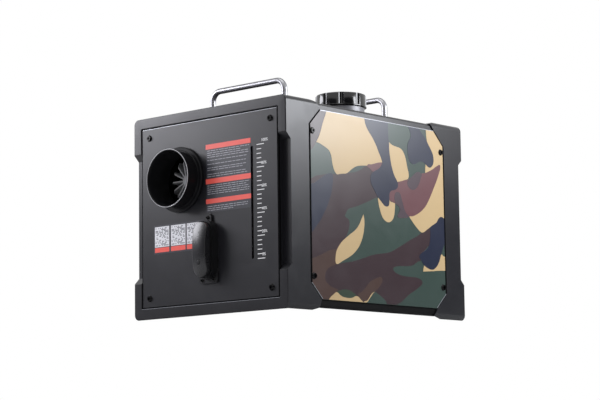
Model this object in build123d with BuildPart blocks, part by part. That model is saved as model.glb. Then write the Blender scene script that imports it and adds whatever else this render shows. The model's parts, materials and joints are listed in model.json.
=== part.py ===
# Portable diesel air heater: a moulded case that holds a fuel tank and a fan-blown
# burner, with a round hot-air outlet in front and the air inlet behind.
# Millimetres. +Z is up, the front with the outlet faces -Y, and the origin is at the
# bottom centre of the bounding box.
from build123d import *
from math import cos, radians, sin, sqrt
import os

os.makedirs("parts", exist_ok=True)

# Case
case_width = 286.7
case_depth = 374.1
case_height = 280.0
case_corner = 8.0          # rounding of the frames seen from the front
face_edge = 1.2            # rounding of the frames' front and rear outer edges
slab = 12.0                # thickness of each frame's face border
body_drop = 3.5            # the middle of the case is lower than the frames, top and bottom
body_sink = 2.0            # and narrower, at each side
body_corner = 4.5
body_wall_top = 4.0
body_wall_side = 4.5
sleeve_gap = 0.2           # between the frames and the covers that slide into them
overlap = 1.0              # how far a cut or a rib runs past the face that it meets
front_full = 50.0          # front frame at full height, from the front face
front_foot = 62.0          # foot of its slope
rear_full = 59.0
rear_foot = 71.0
rebate_foot = 50.0         # finger rebates in the upright edges: their lowest edge
rebate_top_gap = 49.0      # and their highest edge, below the top
front_rebate = 9.0
rear_rebate = 8.0
split_height = 140.0       # where the top cover meets the base tray

# Front and rear panels
border_side = 15.45        # frame left round the panel
border_low = 16.4
border_high = 15.3
panel_thick = 2.5
panel_sink = 1.5
panel_gap = 1.2
panel_edge = 0.5           # rounding of the panels' rims
rim_edge = 0.6             # chamfer of the frames' rims round them
panel_corner = 1.5
ledge = 23.0               # border that carries the panel
panel_screw_side = 13.9    # screws, from the panel's edges
panel_screw_foot = 12.6
panel_screw_top = 13.2
post_half = 7.0            # corner posts that take the screws
post_inset = 6.0
post_spare = 2.0           # post beyond the screw's tip

# Side panels: eight-sided plates on the covers, between the frames' wings
side_low = 15.0
side_top_gap = 13.2        # below the frames' top
side_front = 44.6          # edge of the front frame's wing, from the front face
side_rear_gap = 41.6       # and of the rear frame's, from the rear face
side_chamfer = 21.3
side_thick = 2.0
side_gap = 1.5             # between a plate and the wings
side_screw_front_gap = 6.7 # screws, from the wings
side_screw_rear_gap = 7.8
side_screw_foot = 29.8
side_screw_top = 29.7
side_boss_radius = 5.0
side_boss_length = 8.0
blind_gap = 0.5            # hole beyond a screw's tip

# Screws
screw_head = 4.6
screw_head_height = 2.3
screw_taper = 28.0         # of the head's flank, in degrees
screw_shank = 2.0
screw_gap = 0.15
socket_share = 0.45        # of the head's radius
screw_length = 16.0
side_screw_length = 9.0

# Carrying handles
handle_span = 136.0
handle_rod = 4.0
handle_bend = 14.0
handle_rise = 40.3         # centre of the bar, above the frames
handle_front_y = 81.0      # from the front face
handle_rear_gap = 80.1     # from the rear face
handle_tail = 12.0         # leg below the top cover
handle_nut = 7.5
handle_nut_height = 6.5
rod_gap = 0.15

# Hot-air outlet
duct_side = 89.9           # axis from the case's left side
duct_lift = 47.3           # and above the case's middle
duct_radius = 38.1
duct_bore = 36.5
outlet_reach = 24.0
duct_tail = 14.0           # its inner end, from the front face
duct_flange = 44.7
duct_flange_thick = 4.6
duct_gap = 0.3
lip = 0.4                  # rounding of the duct's rim
duct_flare = 1.4           # how far the rim stands out
duct_rim = 3.0             # its straight land, over which the hose is pushed
duct_flare_length = 4.6
collar_step = 1.2          # ridge where the duct meets its flange
collar_slope = 0.6
flange_edge = 1.0

# Heater unit, with places along Y measured from the front face
heater_size = 124.0
heater_corner = 12.0
heater_wall = 2.5
hood_start = 10.0
hood_end = 50.0
hood_wall = 2.5
heater_rear_gap = 36.1     # open end of the casing, from the rear face
fan_recess = 4.0           # fan, from that end
hood_seat = 6.0            # hood round the duct's tail
hood_lip = 3.0
nose_start = 12.4
nose_round = 3.0
nose_neck = 26.0           # thin neck behind the nose
nose_end = 52.0
core_radius = 36.0
core_bore = 30.0
hub_radius = 9.0
fin_radius = 52.0
fin_count = 14
fin_thick = 2.0
fin_short = 6.0            # fins end before the core does
fin_root = 3.0             # fins rooted in the core
fin_step = 1.0             # fins behind the nose's face
fin_brow = 26.0            # radius where their front edge starts to slope
fin_slope = 8.0
fin_clear = 2.5            # inside the duct
fin_turn = 26.0            # and up to here, from the front face
chamber_radius = 27.0
chamber_wall = 1.5
chamber_start = 90.0
chamber_flange = 40.0
chamber_flange_thick = 6.0
chamber_throat = 8.0
air_hole_start = 70.0      # air holes, from the chamber's mouth
air_hole_pitch = 20.0
air_hole_radius = 2.5
plug_radius = 2.9
plug_gap = 0.3
plug_length = 9.0
plug_terminal = 5.0
housing_radius = 50.0
housing_length = 32.0
housing_wall = 2.5
wheel_radius = 42.0
wheel_length = 18.0
motor_radius = 26.0
motor_length = 46.0
motor_wall = 4.0
motor_inner = 22.0
bearing_radius = 8.0
bearing_gap = 0.02
shaft_radius = 3.0
shaft_gap = 0.05
armature_radius = 18.0
fan_radius = 54.0
fan_hub = 15.0
fan_length = 24.0
fan_standoff = 6.0         # from the motor
fan_blades = 7
blade_chord = 30.0
blade_thick = 2.2
blade_pitch = 38.0
control_length = 46.0
control_width = 90.0
control_height = 22.0
gasket_thick = 1.0
sheet = 2.0                # steel of the stand and the shelf
stand_start = 60.0
stand_over = 4.0           # stand beyond the blower housing
stand_width = 106.0
stand_foot = 11.5

# Exhaust and combustion air
exhaust_y = 85.0
exhaust_radius = 12.0
exhaust_bore = 10.8
exhaust_drop = 68.7        # below the heater's casing
exhaust_bend = 24.0
muffler_radius = 20.0
muffler_start = 124.0
muffler_length = 80.0
stub_reach = 27.0
pipe_gap = 1.0
intake_radius = 12.5
intake_bore = 11.2
intake_drop = 32.7
intake_bend = 18.0
intake_reach = 22.0
port_radius = 12.0
port_bore = 10.5
port_drop = 6.5            # intake port below the heater's casing
flange_size = 40.0
flange_thick = 2.0
bead = 1.5                 # raised ring where a pipe leaves the rear panel

# Rear inlet and cable gland
inlet_radius = 56.0
grille_radius = 60.0
grille_thick = 3.0
grille_bar = 3.0
grille_pitch = 11.0
gland_side = 57.35         # from the case's right side
gland_z = 56.0
gland_radius = 9.0
gland_nut = 12.0
gland_reach = 16.0
gland_bore = 3.6

# Fuel tank and filler
tank_heater_gap = 16.65    # between the heater and the tank
tank_side_gap = 9.85       # between the tank and the cover
tank_low = 62.0
tank_top_gap = 44.5        # below the cover's roof
tank_front = 26.0
tank_rear_gap = 26.1       # from the rear face
tank_wall = 2.5
tank_corner = 14.0
cap_offset = 4.6           # from the middle of the tank
cap_y = 183.2              # from the front face
neck_radius = 26.0
neck_bore = 22.0
neck_flange = 34.0
neck_flange_thick = 3.0
neck_rise = 22.6           # above the frames
neck_gap = 0.3
collar_radius = 32.7
collar_rise = 10.2
cap_radius = 35.2
cap_gap = 0.7              # between the collar and the cap
cap_height = 17.9
cap_bore = 28.5
cap_roof = 4.0
cap_lobes = 9
cap_groove = 5.0
cap_groove_centre = 38.4
gasket_low_gap = 0.3
shelf_start = 60.0
shelf_rear_gap = 52.0      # tank beyond the shelf
shelf_foot = 12.0
slot_width = 4.0
slot_foot = 6.6            # from the tank's bottom
slot_top = 9.7             # from the tank's top
sight_radius = 4.0
sight_bore = 2.8
sight_y = 11.5             # from the front face
sight_foot = 8.0
sight_top = 7.0
sight_bend = 8.0

# Fuel line, filter and dosing pump
line_radius = 3.6
line_bore = 2.7
nipple = 2.6
nipple_bore = 1.4
nipple_length = 8.0
line_level = 33.0
line_bend = 12.0
outlet_side = 18.0         # from the tank's left side
outlet_y = 75.0
outlet_body = 6.0
outlet_body_length = 10.0
outlet_nipple_length = 6.0
filter_start = 98.0
filter_length = 52.0
filter_radius = 12.0
pump_side = 35.0           # from the tank's left side
pump_start = 194.0
pump_length = 90.0
pump_radius = 14.0
piston_radius = 6.0
piston_gap = 0.05
piston_length = 30.0
piston_stroke = 3.0
pump_wall = 10.0
clamp_wall = 2.5
clamp_width = 20.0
clamp_foot = 20.0
fuel_side = 21.65          # inlet beside the heater's axis
line_turn = 20.0           # beyond the pump
line_drop = 10.7           # hose end below the heater's casing
hose_step = 15.0           # straight part before the line crosses over
seat_gap = 2.0             # between a hose and the body of a fitting

# Hand controller in its holder on the front panel
holder_x = 1.6
holder_z = 86.5            # middle of the controller
holder_base = 3.0
holder_rise = 11.0
holder_wall = 1.6
controller_width = 26.6
controller_height = 75.5
controller_gap = 0.4
controller_back = 11.0
controller_face = 9.0
controller_round = 2.0
controller_crown_end = 6.0 # the face falls back by this much at its two ends
controller_crown_side = 1.6 # and at its sides
controller_wall = 1.6
controller_taper = 12.0    # of the face's flanks, in degrees
holder_foot_width = 34.0
holder_foot_low = 42.0
holder_foot_height = 20.0
holder_ear_z = 130.0
holder_ear_radius = 6.0
holder_foot_screw_x = 11.0
holder_foot_screw_z = 46.5
holder_screw_length = 6.0
holder_screw_head = 2.8
holder_screw_shank = 1.5
button_z = 69.0
button_radius = 3.2
button_proud = 0.3
button_gap = 0.3
button_height = 6.0
board_thick = 1.6

# Places worked out from the driving dimensions
front_y = outlet_reach - (case_depth + outlet_reach + stub_reach) / 2
back_y = front_y + case_depth
body_half = case_width / 2 - body_sink
body_low = body_drop
panel_width = case_width - 2 * border_side
panel_low = border_low
panel_high = case_height - border_high
panel_screw_x = panel_width / 2 - panel_screw_side
panel_screw_low = panel_low + panel_screw_foot
panel_screw_high = panel_high - panel_screw_top
rebate_low = rebate_foot
rebate_high = case_height - rebate_top_gap
side_high = case_height - side_top_gap
side_face = body_half + side_thick
side_rear = case_depth - side_rear_gap
side_screw_front = side_front + side_screw_front_gap
side_screw_rear = side_rear - side_screw_rear_gap
side_screw_low = side_low + side_screw_foot
side_screw_high = side_high - side_screw_top
handle_height = case_height + handle_rise
handle_rear_y = case_depth - handle_rear_gap
duct_x = duct_side - case_width / 2
duct_z = case_height / 2 + duct_lift
body_high = case_height - body_drop
body_inner_half = body_half - body_wall_side
body_floor = body_low + body_wall_top
body_roof = body_high - body_wall_top
panel_middle = (panel_low + panel_high) / 2
panel_height = panel_high - panel_low
panel_front_y = front_y + panel_sink
panel_rear_y = back_y - panel_sink
panel_rear_inside_y = panel_rear_y - panel_thick
screw_hole = screw_shank + screw_gap
heater_half = heater_size / 2
heater_bottom = duct_z - heater_half
heater_inside = heater_half - heater_wall
heater_end = case_depth - heater_rear_gap
fan_start = heater_end - fan_recess - fan_length
motor_end = fan_start - fan_standoff
housing_end = motor_end - motor_length
chamber_flange_end = housing_end - housing_length
core_end = chamber_flange_end - chamber_flange_thick
fin_end = core_end - fin_short
stand_end = housing_end + stand_over
exhaust_level = heater_bottom - exhaust_drop
intake_level = heater_bottom - intake_drop
gland_x = case_width / 2 - gland_side
tank_left = duct_x + heater_half + tank_heater_gap
tank_right = body_inner_half - tank_side_gap
tank_high = body_roof - tank_top_gap
tank_rear = case_depth - tank_rear_gap
cap_x = (tank_left + tank_right) / 2 + cap_offset
neck_top = case_height + neck_rise
collar_top = case_height + collar_rise
cap_low = collar_top + cap_gap
cap_high = cap_low + cap_height
shelf_end = tank_rear - shelf_rear_gap
slot_x = cap_x
slot_low = tank_low + slot_foot
slot_high = tank_high - slot_top
sight_low = tank_low + sight_foot
sight_high = tank_high - sight_top
outlet_x = tank_left + outlet_side
pump_x = tank_left + pump_side
fuel_x = duct_x + fuel_side
line_turn_y = pump_start + pump_length + line_turn
line_top = heater_bottom - line_drop
intake_y = chamber_flange_end + housing_length / 2
fuel_y = core_end + chamber_flange_thick / 2
controller_base_y = panel_front_y - holder_base


def face_plane(y):
    # upright plane that faces the front: local x is X and local y is Z
    return Plane(origin=(0, y, 0), x_dir=(1, 0, 0), z_dir=(0, -1, 0))


def side_plane(x):
    # upright plane that faces the right: local x is Y and local y is Z
    return Plane(origin=(x, 0, 0), x_dir=(0, 1, 0), z_dir=(1, 0, 0))


def add_block(x_span, y_span, z_span, mode=Mode.ADD):
    middle = tuple(sum(span) / 2 for span in (x_span, y_span, z_span))
    with Locations(middle):
        Box(x_span[1] - x_span[0], y_span[1] - y_span[0], z_span[1] - z_span[0], mode=mode)


def add_bar(start, end, radius, mode=Mode.ADD):
    run = Vector(*end) - Vector(*start)
    with BuildSketch(Plane(origin=start, z_dir=run)) as section:
        Circle(radius)
    extrude(section.sketch, amount=run.length, mode=mode)


def turn_about_y(x, z, outline, mode=Mode.ADD):
    # outline points are (radius, y)
    with BuildSketch(Plane(origin=(x, 0, z))) as profile:
        with BuildLine():
            Polyline(*outline, close=True)
        make_face()
    revolve(profile.sketch, axis=Axis((x, 0, z), (0, 1, 0)), mode=mode)


def turn_about_z(x, y, outline, mode=Mode.ADD):
    # outline points are (radius, z)
    with BuildSketch(Plane(origin=(x, y, 0), x_dir=(1, 0, 0), z_dir=(0, -1, 0))) as profile:
        with BuildLine():
            Polyline(*outline, close=True)
        make_face()
    revolve(profile.sketch, axis=Axis((x, y, 0), (0, 0, 1)), mode=mode)


def add_tube(points, bend, radius, bore):
    with BuildLine() as route:
        FilletPolyline(*points, radius=bend)
    start = Plane(origin=route.line @ 0, z_dir=route.line % 0)
    with BuildSketch(start) as section:
        Circle(radius)
        if bore:
            Circle(bore, mode=Mode.SUBTRACT)
    sweep(section.sketch, path=route.line)


def add_screw(plane, length, head_radius=screw_head, shank_radius=screw_shank):
    # socket head above the plane, shank below it
    with BuildSketch(plane) as head:
        Circle(head_radius)
    extrude(head.sketch, amount=screw_head_height, taper=screw_taper)
    with BuildSketch(plane) as shank:
        Circle(shank_radius)
    extrude(shank.sketch, amount=-length)
    with BuildSketch(plane.offset(screw_head_height)) as socket:
        RegularPolygon(head_radius * socket_share, 6)
    extrude(socket.sketch, amount=-screw_head_height * 0.7, mode=Mode.SUBTRACT)


def panel_screw_spots():
    return [(x, z) for x in (-panel_screw_x, panel_screw_x) for z in (panel_screw_low, panel_screw_high)]


def side_screw_spots():
    return [
        (front_y + y, z)
        for y in (side_screw_front, side_screw_rear)
        for z in (side_screw_low, side_screw_high)
    ]


def side_outline():
    # eight corners of the side panel as (y, z), clear of the wings by the gap
    y_a = front_y + side_front + side_gap
    y_b = front_y + side_rear - side_gap
    z_a = side_low
    z_b = side_high
    c = side_chamfer
    return [
        (y_a + c, z_a),
        (y_b - c, z_a),
        (y_b, z_a + c),
        (y_b, z_b - c),
        (y_b - c, z_b),
        (y_a + c, z_b),
        (y_a, z_b - c),
        (y_a, z_a + c),
    ]


# The two moulded end frames
def end_frame(face_y, inward, full, foot, wing, rebate):
    # inward is +1 for the front frame and -1 for the rear one
    tip = wing + side_chamfer
    with BuildPart() as frame:
        with BuildSketch(face_plane(face_y)):
            with Locations((0, case_height / 2)):
                RectangleRounded(case_width, case_height, case_corner)
        extrude(amount=-inward * max(foot, tip))
        outer = frame.faces().sort_by(Axis.Y)[0 if inward > 0 else -1]
        fillet(outer.edges(), face_edge)
        # side view: slopes at top and bottom, and a wing with chamfered corners
        with BuildSketch(side_plane(0)):
            with BuildLine():
                Polyline(
                    (face_y, 0),
                    (face_y + inward * full, 0),
                    (face_y + inward * foot, body_drop),
                    (face_y + inward * tip, side_low),
                    (face_y + inward * wing, side_low + side_chamfer),
                    (face_y + inward * wing, side_high - side_chamfer),
                    (face_y + inward * tip, side_high),
                    (face_y + inward * foot, case_height - body_drop),
                    (face_y + inward * full, case_height),
                    (face_y, case_height),
                    close=True,
                )
            make_face()
        extrude(amount=case_width / 2, both=True, mode=Mode.INTERSECT)
        # sleeve round the covers
        with BuildSketch(face_plane(face_y + inward * slab)):
            with Locations((0, case_height / 2)):
                RectangleRounded(
                    2 * (body_half + sleeve_gap),
                    body_high - body_low + 2 * sleeve_gap,
                    body_corner + sleeve_gap,
                )
        extrude(amount=-inward * case_depth / 2, mode=Mode.SUBTRACT)
        # pocket for the panel, with a chamfered rim, and the window inside its ledge
        pocket = panel_sink + panel_thick
        with BuildSketch(face_plane(face_y)):
            with Locations((0, panel_middle)):
                RectangleRounded(panel_width + 2 * panel_gap, panel_height + 2 * panel_gap, panel_corner)
        extrude(amount=-inward * pocket, mode=Mode.SUBTRACT)
        rim = frame.faces().sort_by(Axis.Y)[0 if inward > 0 else -1].inner_wires()[0]
        chamfer(rim.edges(), rim_edge)
        with BuildSketch(face_plane(face_y)):
            with Locations((0, panel_middle)):
                RectangleRounded(panel_width - 2 * ledge, panel_height - 2 * ledge, panel_corner)
        extrude(amount=-inward * slab, mode=Mode.SUBTRACT)
        # finger rebates down the upright edges
        edge = panel_width / 2 + panel_gap
        for side in (-1, 1):
            with BuildSketch(side_plane(side * edge)):
                with BuildLine():
                    Polyline(
                        (face_y - inward, rebate_low - 1),
                        (face_y + inward * rebate, rebate_low + rebate),
                        (face_y + inward * rebate, rebate_high - rebate),
                        (face_y - inward, rebate_high + 1),
                        close=True,
                    )
                make_face()
            extrude(amount=side * (case_width / 2 - edge), mode=Mode.SUBTRACT)
        with BuildSketch(face_plane(face_y)):
            with Locations(*panel_screw_spots()):
                Circle(screw_hole)
        extrude(amount=-inward * slab, mode=Mode.SUBTRACT)
    return frame


front_frame = end_frame(front_y, 1, front_full, front_foot, side_front, front_rebate)
front_frame.part.label = "front_frame"
export_step(front_frame.part, "parts/front_frame.step")

rear_frame = end_frame(back_y, -1, rear_full, rear_foot, case_depth - side_rear, rear_rebate)
rear_frame.part.label = "rear_frame"
export_step(rear_frame.part, "parts/rear_frame.step")


# The covers between the frames: one rounded tube, parted at the split height
def cover_half(keep):
    start = front_y + slab + sleeve_gap
    end = back_y - slab - sleeve_gap
    with BuildPart() as cover:
        with BuildSketch(face_plane(start)):
            with Locations((0, case_height / 2)):
                RectangleRounded(2 * body_half, body_high - body_low, body_corner)
                RectangleRounded(
                    2 * body_inner_half,
                    body_roof - body_floor,
                    body_corner - body_wall_top,
                    mode=Mode.SUBTRACT,
                )
        extrude(amount=-(end - start))
        # corner posts that take the panel screws
        post = screw_length + post_spare
        post_inner = panel_screw_x - post_inset
        post_outer = body_inner_half + overlap
        for side in (-1, 1):
            x_span = sorted((side * post_inner, side * post_outer))
            for y_span in ((start, start + post), (end - post, end)):
                add_block(x_span, y_span, (body_floor - overlap, panel_screw_low + post_half))
                add_block(x_span, y_span, (panel_screw_high - post_half, body_roof + overlap))
        # bosses and holes for the side panels' screws
        for side in (-1, 1):
            for y, z in side_screw_spots():
                add_bar(
                    (side * (body_inner_half - side_boss_length), y, z),
                    (side * (body_inner_half + overlap), y, z),
                    side_boss_radius,
                )
            for y, z in side_screw_spots():
                add_bar(
                    (side * (side_face - side_screw_length - blind_gap), y, z),
                    (side * (body_half + overlap), y, z),
                    screw_hole,
                    mode=Mode.SUBTRACT,
                )
        for x, z in panel_screw_spots():
            add_bar((x, start, z), (x, start + screw_length, z), screw_hole, mode=Mode.SUBTRACT)
            add_bar((x, end - screw_length, z), (x, end, z), screw_hole, mode=Mode.SUBTRACT)
        # holes in the top for the filler neck and the handles
        add_bar(
            (cap_x, front_y + cap_y, body_roof - 1),
            (cap_x, front_y + cap_y, body_high + 1),
            neck_radius + neck_gap,
            mode=Mode.SUBTRACT,
        )
        for y in (handle_front_y, handle_rear_y):
            for x in (-handle_span / 2, handle_span / 2):
                add_bar(
                    (x, front_y + y, body_roof - 1),
                    (x, front_y + y, body_high + 1),
                    handle_rod + rod_gap,
                    mode=Mode.SUBTRACT,
                )
        split(bisect_by=Plane.XY.offset(split_height), keep=keep)
    return cover


top_cover = cover_half(Keep.TOP)
top_cover.part.label = "top_cover"
export_step(top_cover.part, "parts/top_cover.step")

base_tray = cover_half(Keep.BOTTOM)
base_tray.part.label = "base_tray"
export_step(base_tray.part, "parts/base_tray.step")


# Side panels
def side_panel(side):
    with BuildPart() as plate:
        with BuildSketch(side_plane(side * body_half)):
            with BuildLine():
                Polyline(*side_outline(), close=True)
            make_face()
            with Locations(*side_screw_spots()):
                Circle(screw_hole, mode=Mode.SUBTRACT)
        extrude(amount=side * side_thick)
    return plate


side_panel_right = side_panel(1)
side_panel_right.part.label = "side_panel_right"
export_step(side_panel_right.part, "parts/side_panel_right.step")

side_panel_left = side_panel(-1)
side_panel_left.part.label = "side_panel_left"
export_step(side_panel_left.part, "parts/side_panel_left.step")

# Front panel: holes for the outlet, the fuel slot, its screws and the holder's screws
holder_screw_spots = [
    (holder_x, holder_ear_z),
    (holder_x - holder_foot_screw_x, holder_foot_screw_z),
    (holder_x + holder_foot_screw_x, holder_foot_screw_z),
]
with BuildPart() as front_panel:
    with BuildSketch(face_plane(panel_front_y)):
        with Locations((0, panel_middle)):
            RectangleRounded(panel_width, panel_height, panel_corner)
        with Locations((duct_x, duct_z)):
            Circle(duct_radius + duct_gap, mode=Mode.SUBTRACT)
        with Locations((slot_x, (slot_low + slot_high) / 2)):
            SlotOverall(slot_high - slot_low, slot_width, rotation=90, mode=Mode.SUBTRACT)
        with Locations(*panel_screw_spots()):
            Circle(screw_hole, mode=Mode.SUBTRACT)
        with Locations(*holder_screw_spots):
            Circle(holder_screw_shank + screw_gap, mode=Mode.SUBTRACT)
    extrude(amount=-panel_thick)
    front_rim = front_panel.faces().sort_by(Axis.Y)[0].outer_wire()
    fillet(front_rim.edges(), panel_edge)
front_panel.part.label = "front_panel"
export_step(front_panel.part, "parts/front_panel.step")

# Rear panel: holes for the air inlet, the two pipes, the cable gland and its screws
with BuildPart() as rear_panel:
    with BuildSketch(face_plane(panel_rear_y)):
        with Locations((0, panel_middle)):
            RectangleRounded(panel_width, panel_height, panel_corner)
        with Locations((duct_x, duct_z)):
            Circle(inlet_radius, mode=Mode.SUBTRACT)
        with Locations((duct_x, exhaust_level)):
            Circle(exhaust_radius + pipe_gap, mode=Mode.SUBTRACT)
        with Locations((duct_x, intake_level)):
            Circle(intake_radius + pipe_gap, mode=Mode.SUBTRACT)
        with Locations((gland_x, gland_z)):
            Circle(gland_radius + screw_gap, mode=Mode.SUBTRACT)
        with Locations(*panel_screw_spots()):
            Circle(screw_hole, mode=Mode.SUBTRACT)
    extrude(amount=panel_thick)
rear_panel.part.label = "rear_panel"
export_step(rear_panel.part, "parts/rear_panel.step")

# Panel screws
with BuildPart() as front_panel_screws:
    for x, z in panel_screw_spots():
        add_screw(Plane(origin=(x, panel_front_y, z), x_dir=(1, 0, 0), z_dir=(0, -1, 0)), screw_length)
front_panel_screws.part.label = "front_panel_screws"
export_step(front_panel_screws.part, "parts/front_panel_screws.step")

with BuildPart() as rear_panel_screws:
    for x, z in panel_screw_spots():
        add_screw(Plane(origin=(x, panel_rear_y, z), x_dir=(1, 0, 0), z_dir=(0, 1, 0)), screw_length)
rear_panel_screws.part.label = "rear_panel_screws"
export_step(rear_panel_screws.part, "parts/rear_panel_screws.step")

with BuildPart() as side_panel_screws:
    for side in (-1, 1):
        for y, z in side_screw_spots():
            spot = Plane(origin=(side * side_face, y, z), x_dir=(0, 1, 0), z_dir=(side, 0, 0))
            add_screw(spot, side_screw_length)
side_panel_screws.part.label = "side_panel_screws"
export_step(side_panel_screws.part, "parts/side_panel_screws.step")


# Carrying handles: bent rods through the top cover, held by nuts under it
def carrying_handle(y):
    foot = body_roof - handle_tail
    half = handle_span / 2
    with BuildPart() as handle:
        rod = [
            (-half, front_y + y, foot),
            (-half, front_y + y, handle_height),
            (half, front_y + y, handle_height),
            (half, front_y + y, foot),
        ]
        add_tube(rod, handle_bend, handle_rod, 0)
    return handle


handle_front = carrying_handle(handle_front_y)
handle_front.part.label = "handle_front"
export_step(handle_front.part, "parts/handle_front.step")

handle_rear = carrying_handle(handle_rear_y)
handle_rear.part.label = "handle_rear"
export_step(handle_rear.part, "parts/handle_rear.step")

with BuildPart() as handle_nuts:
    with BuildSketch(Plane.XY.offset(body_roof)):
        for y in (handle_front_y, handle_rear_y):
            with Locations((-handle_span / 2, front_y + y), (handle_span / 2, front_y + y)):
                RegularPolygon(handle_nut, 6)
                Circle(handle_rod + bearing_gap, mode=Mode.SUBTRACT)
    extrude(amount=-handle_nut_height)
handle_nuts.part.label = "handle_nuts"
export_step(handle_nuts.part, "parts/handle_nuts.step")

# Outlet duct: a thin tube with a flange against the front panel
duct_tip = front_y - outlet_reach
with BuildPart() as outlet_duct:
    flange_face = panel_front_y - duct_flange_thick
    turn_about_y(
        duct_x,
        duct_z,
        [
            (duct_bore + duct_flare + lip, duct_tip),
            (duct_radius + duct_flare - lip, duct_tip),
            (duct_radius + duct_flare, duct_tip + lip),
            (duct_radius + duct_flare, duct_tip + lip + duct_rim),
            (duct_radius, duct_tip + duct_flare_length),
            (duct_radius, flange_face - flange_edge),
            (duct_radius + collar_step, flange_face - flange_edge),
            (duct_radius + collar_step + collar_slope, flange_face),
            (duct_flange - flange_edge, flange_face),
            (duct_flange, flange_face + flange_edge),
            (duct_flange, panel_front_y),
            (duct_radius, panel_front_y),
            (duct_radius, front_y + duct_tail),
            (duct_bore, front_y + duct_tail),
            (duct_bore, duct_tip + duct_flare_length),
            (duct_bore + duct_flare, duct_tip + lip),
        ],
    )
outlet_duct.part.label = "outlet_duct"
export_step(outlet_duct.part, "parts/outlet_duct.step")

# Hood from the heater's square casing to the round duct
hood_mouth = duct_radius + duct_gap
hood_wide = heater_inside - hood_lip
with BuildPart() as outlet_hood:
    hood_a = front_y + hood_start
    hood_b = front_y + hood_end
    turn_about_y(
        duct_x,
        duct_z,
        [
            (hood_mouth, hood_a),
            (hood_mouth + hood_wall, hood_a),
            (hood_mouth + hood_wall, hood_a + hood_seat),
            (hood_wide + hood_wall, hood_b - hood_lip),
            (hood_wide + hood_wall, hood_b),
            (hood_wide, hood_b),
            (hood_wide, hood_b - hood_lip),
            (hood_mouth, hood_a + hood_seat + 1),
        ],
    )
    with BuildSketch(face_plane(hood_b)):
        with Locations((duct_x, duct_z)):
            RectangleRounded(heater_size, heater_size, heater_corner)
            Circle(hood_wide, mode=Mode.SUBTRACT)
    extrude(amount=hood_wall)
outlet_hood.part.label = "outlet_hood"
export_step(outlet_hood.part, "parts/outlet_hood.step")


# Heater casing in two halves
def heater_casing(keep):
    with BuildPart() as casing:
        with BuildSketch(face_plane(front_y + hood_end)):
            with Locations((duct_x, duct_z)):
                RectangleRounded(heater_size, heater_size, heater_corner)
                RectangleRounded(
                    2 * heater_inside, 2 * heater_inside, heater_corner - heater_wall, mode=Mode.SUBTRACT
                )
        extrude(amount=-(heater_end - hood_end))
        floor_ports = [
            (duct_x, exhaust_y, exhaust_radius + pipe_gap),
            (duct_x, intake_y, port_radius + pipe_gap),
            (fuel_x, fuel_y, nipple + pipe_gap / 2),
        ]
        for x, y, radius in floor_ports:
            add_bar(
                (x, front_y + y, heater_bottom - 1),
                (x, front_y + y, heater_bottom + heater_wall + 1),
                radius,
                mode=Mode.SUBTRACT,
            )
        split(bisect_by=Plane.XY.offset(duct_z), keep=keep)
    return casing


heater_casing_lower = heater_casing(Keep.BOTTOM)
heater_casing_lower.part.label = "heater_casing_lower"
export_step(heater_casing_lower.part, "parts/heater_casing_lower.step")

heater_casing_upper = heater_casing(Keep.TOP)
heater_casing_upper.part.label = "heater_casing_upper"
export_step(heater_casing_upper.part, "parts/heater_casing_upper.step")

# Heat exchanger: a cast cup with a bullet nose, radial fins and a foot round the exhaust port
with BuildPart() as heat_exchanger:
    turn_about_y(
        duct_x,
        duct_z,
        [
            (0, front_y + nose_start),
            (hub_radius - nose_round, front_y + nose_start),
            (hub_radius, front_y + nose_start + nose_round),
            (hub_radius, front_y + nose_start + nose_neck),
            (core_radius, front_y + nose_end),
            (core_radius, front_y + core_end),
            (0, front_y + core_end),
        ],
    )
    for k in range(fin_count):
        turn = radians(90 + (k + 0.5) * 360 / fin_count)
        fin_plane = Plane(
            origin=(duct_x, 0, duct_z),
            x_dir=(cos(turn), 0, sin(turn)),
            z_dir=(-sin(turn), 0, cos(turn)),
        )
        with BuildSketch(fin_plane):
            with BuildLine():
                Polyline(
                    (hub_radius - nose_round, front_y + nose_start + fin_step),
                    (fin_brow, front_y + nose_start + fin_step),
                    (duct_bore - fin_clear, front_y + nose_start + fin_slope),
                    (duct_bore - fin_clear, front_y + fin_turn),
                    (fin_radius, front_y + nose_end + fin_short),
                    (fin_radius, front_y + fin_end),
                    (core_radius - fin_root, front_y + fin_end),
                    (core_radius - fin_root, front_y + nose_end),
                    (hub_radius - nose_round, front_y + nose_start + nose_neck),
                    close=True,
                )
            make_face()
        extrude(amount=fin_thick / 2, both=True)
    add_block(
        (duct_x - 22, duct_x + 22),
        (front_y + exhaust_y - 22, front_y + exhaust_y + 22),
        (heater_bottom + heater_wall, duct_z - core_radius + 4),
    )
    add_bar(
        (duct_x, front_y + chamber_start - 8, duct_z),
        (duct_x, front_y + core_end, duct_z),
        core_bore,
        mode=Mode.SUBTRACT,
    )
    add_bar(
        (duct_x, front_y + exhaust_y, heater_bottom),
        (duct_x, front_y + exhaust_y, duct_z - core_bore / 2),
        exhaust_bore - 2,
        mode=Mode.SUBTRACT,
    )
heat_exchanger.part.label = "heat_exchanger"
export_step(heat_exchanger.part, "parts/heat_exchanger.step")

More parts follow.
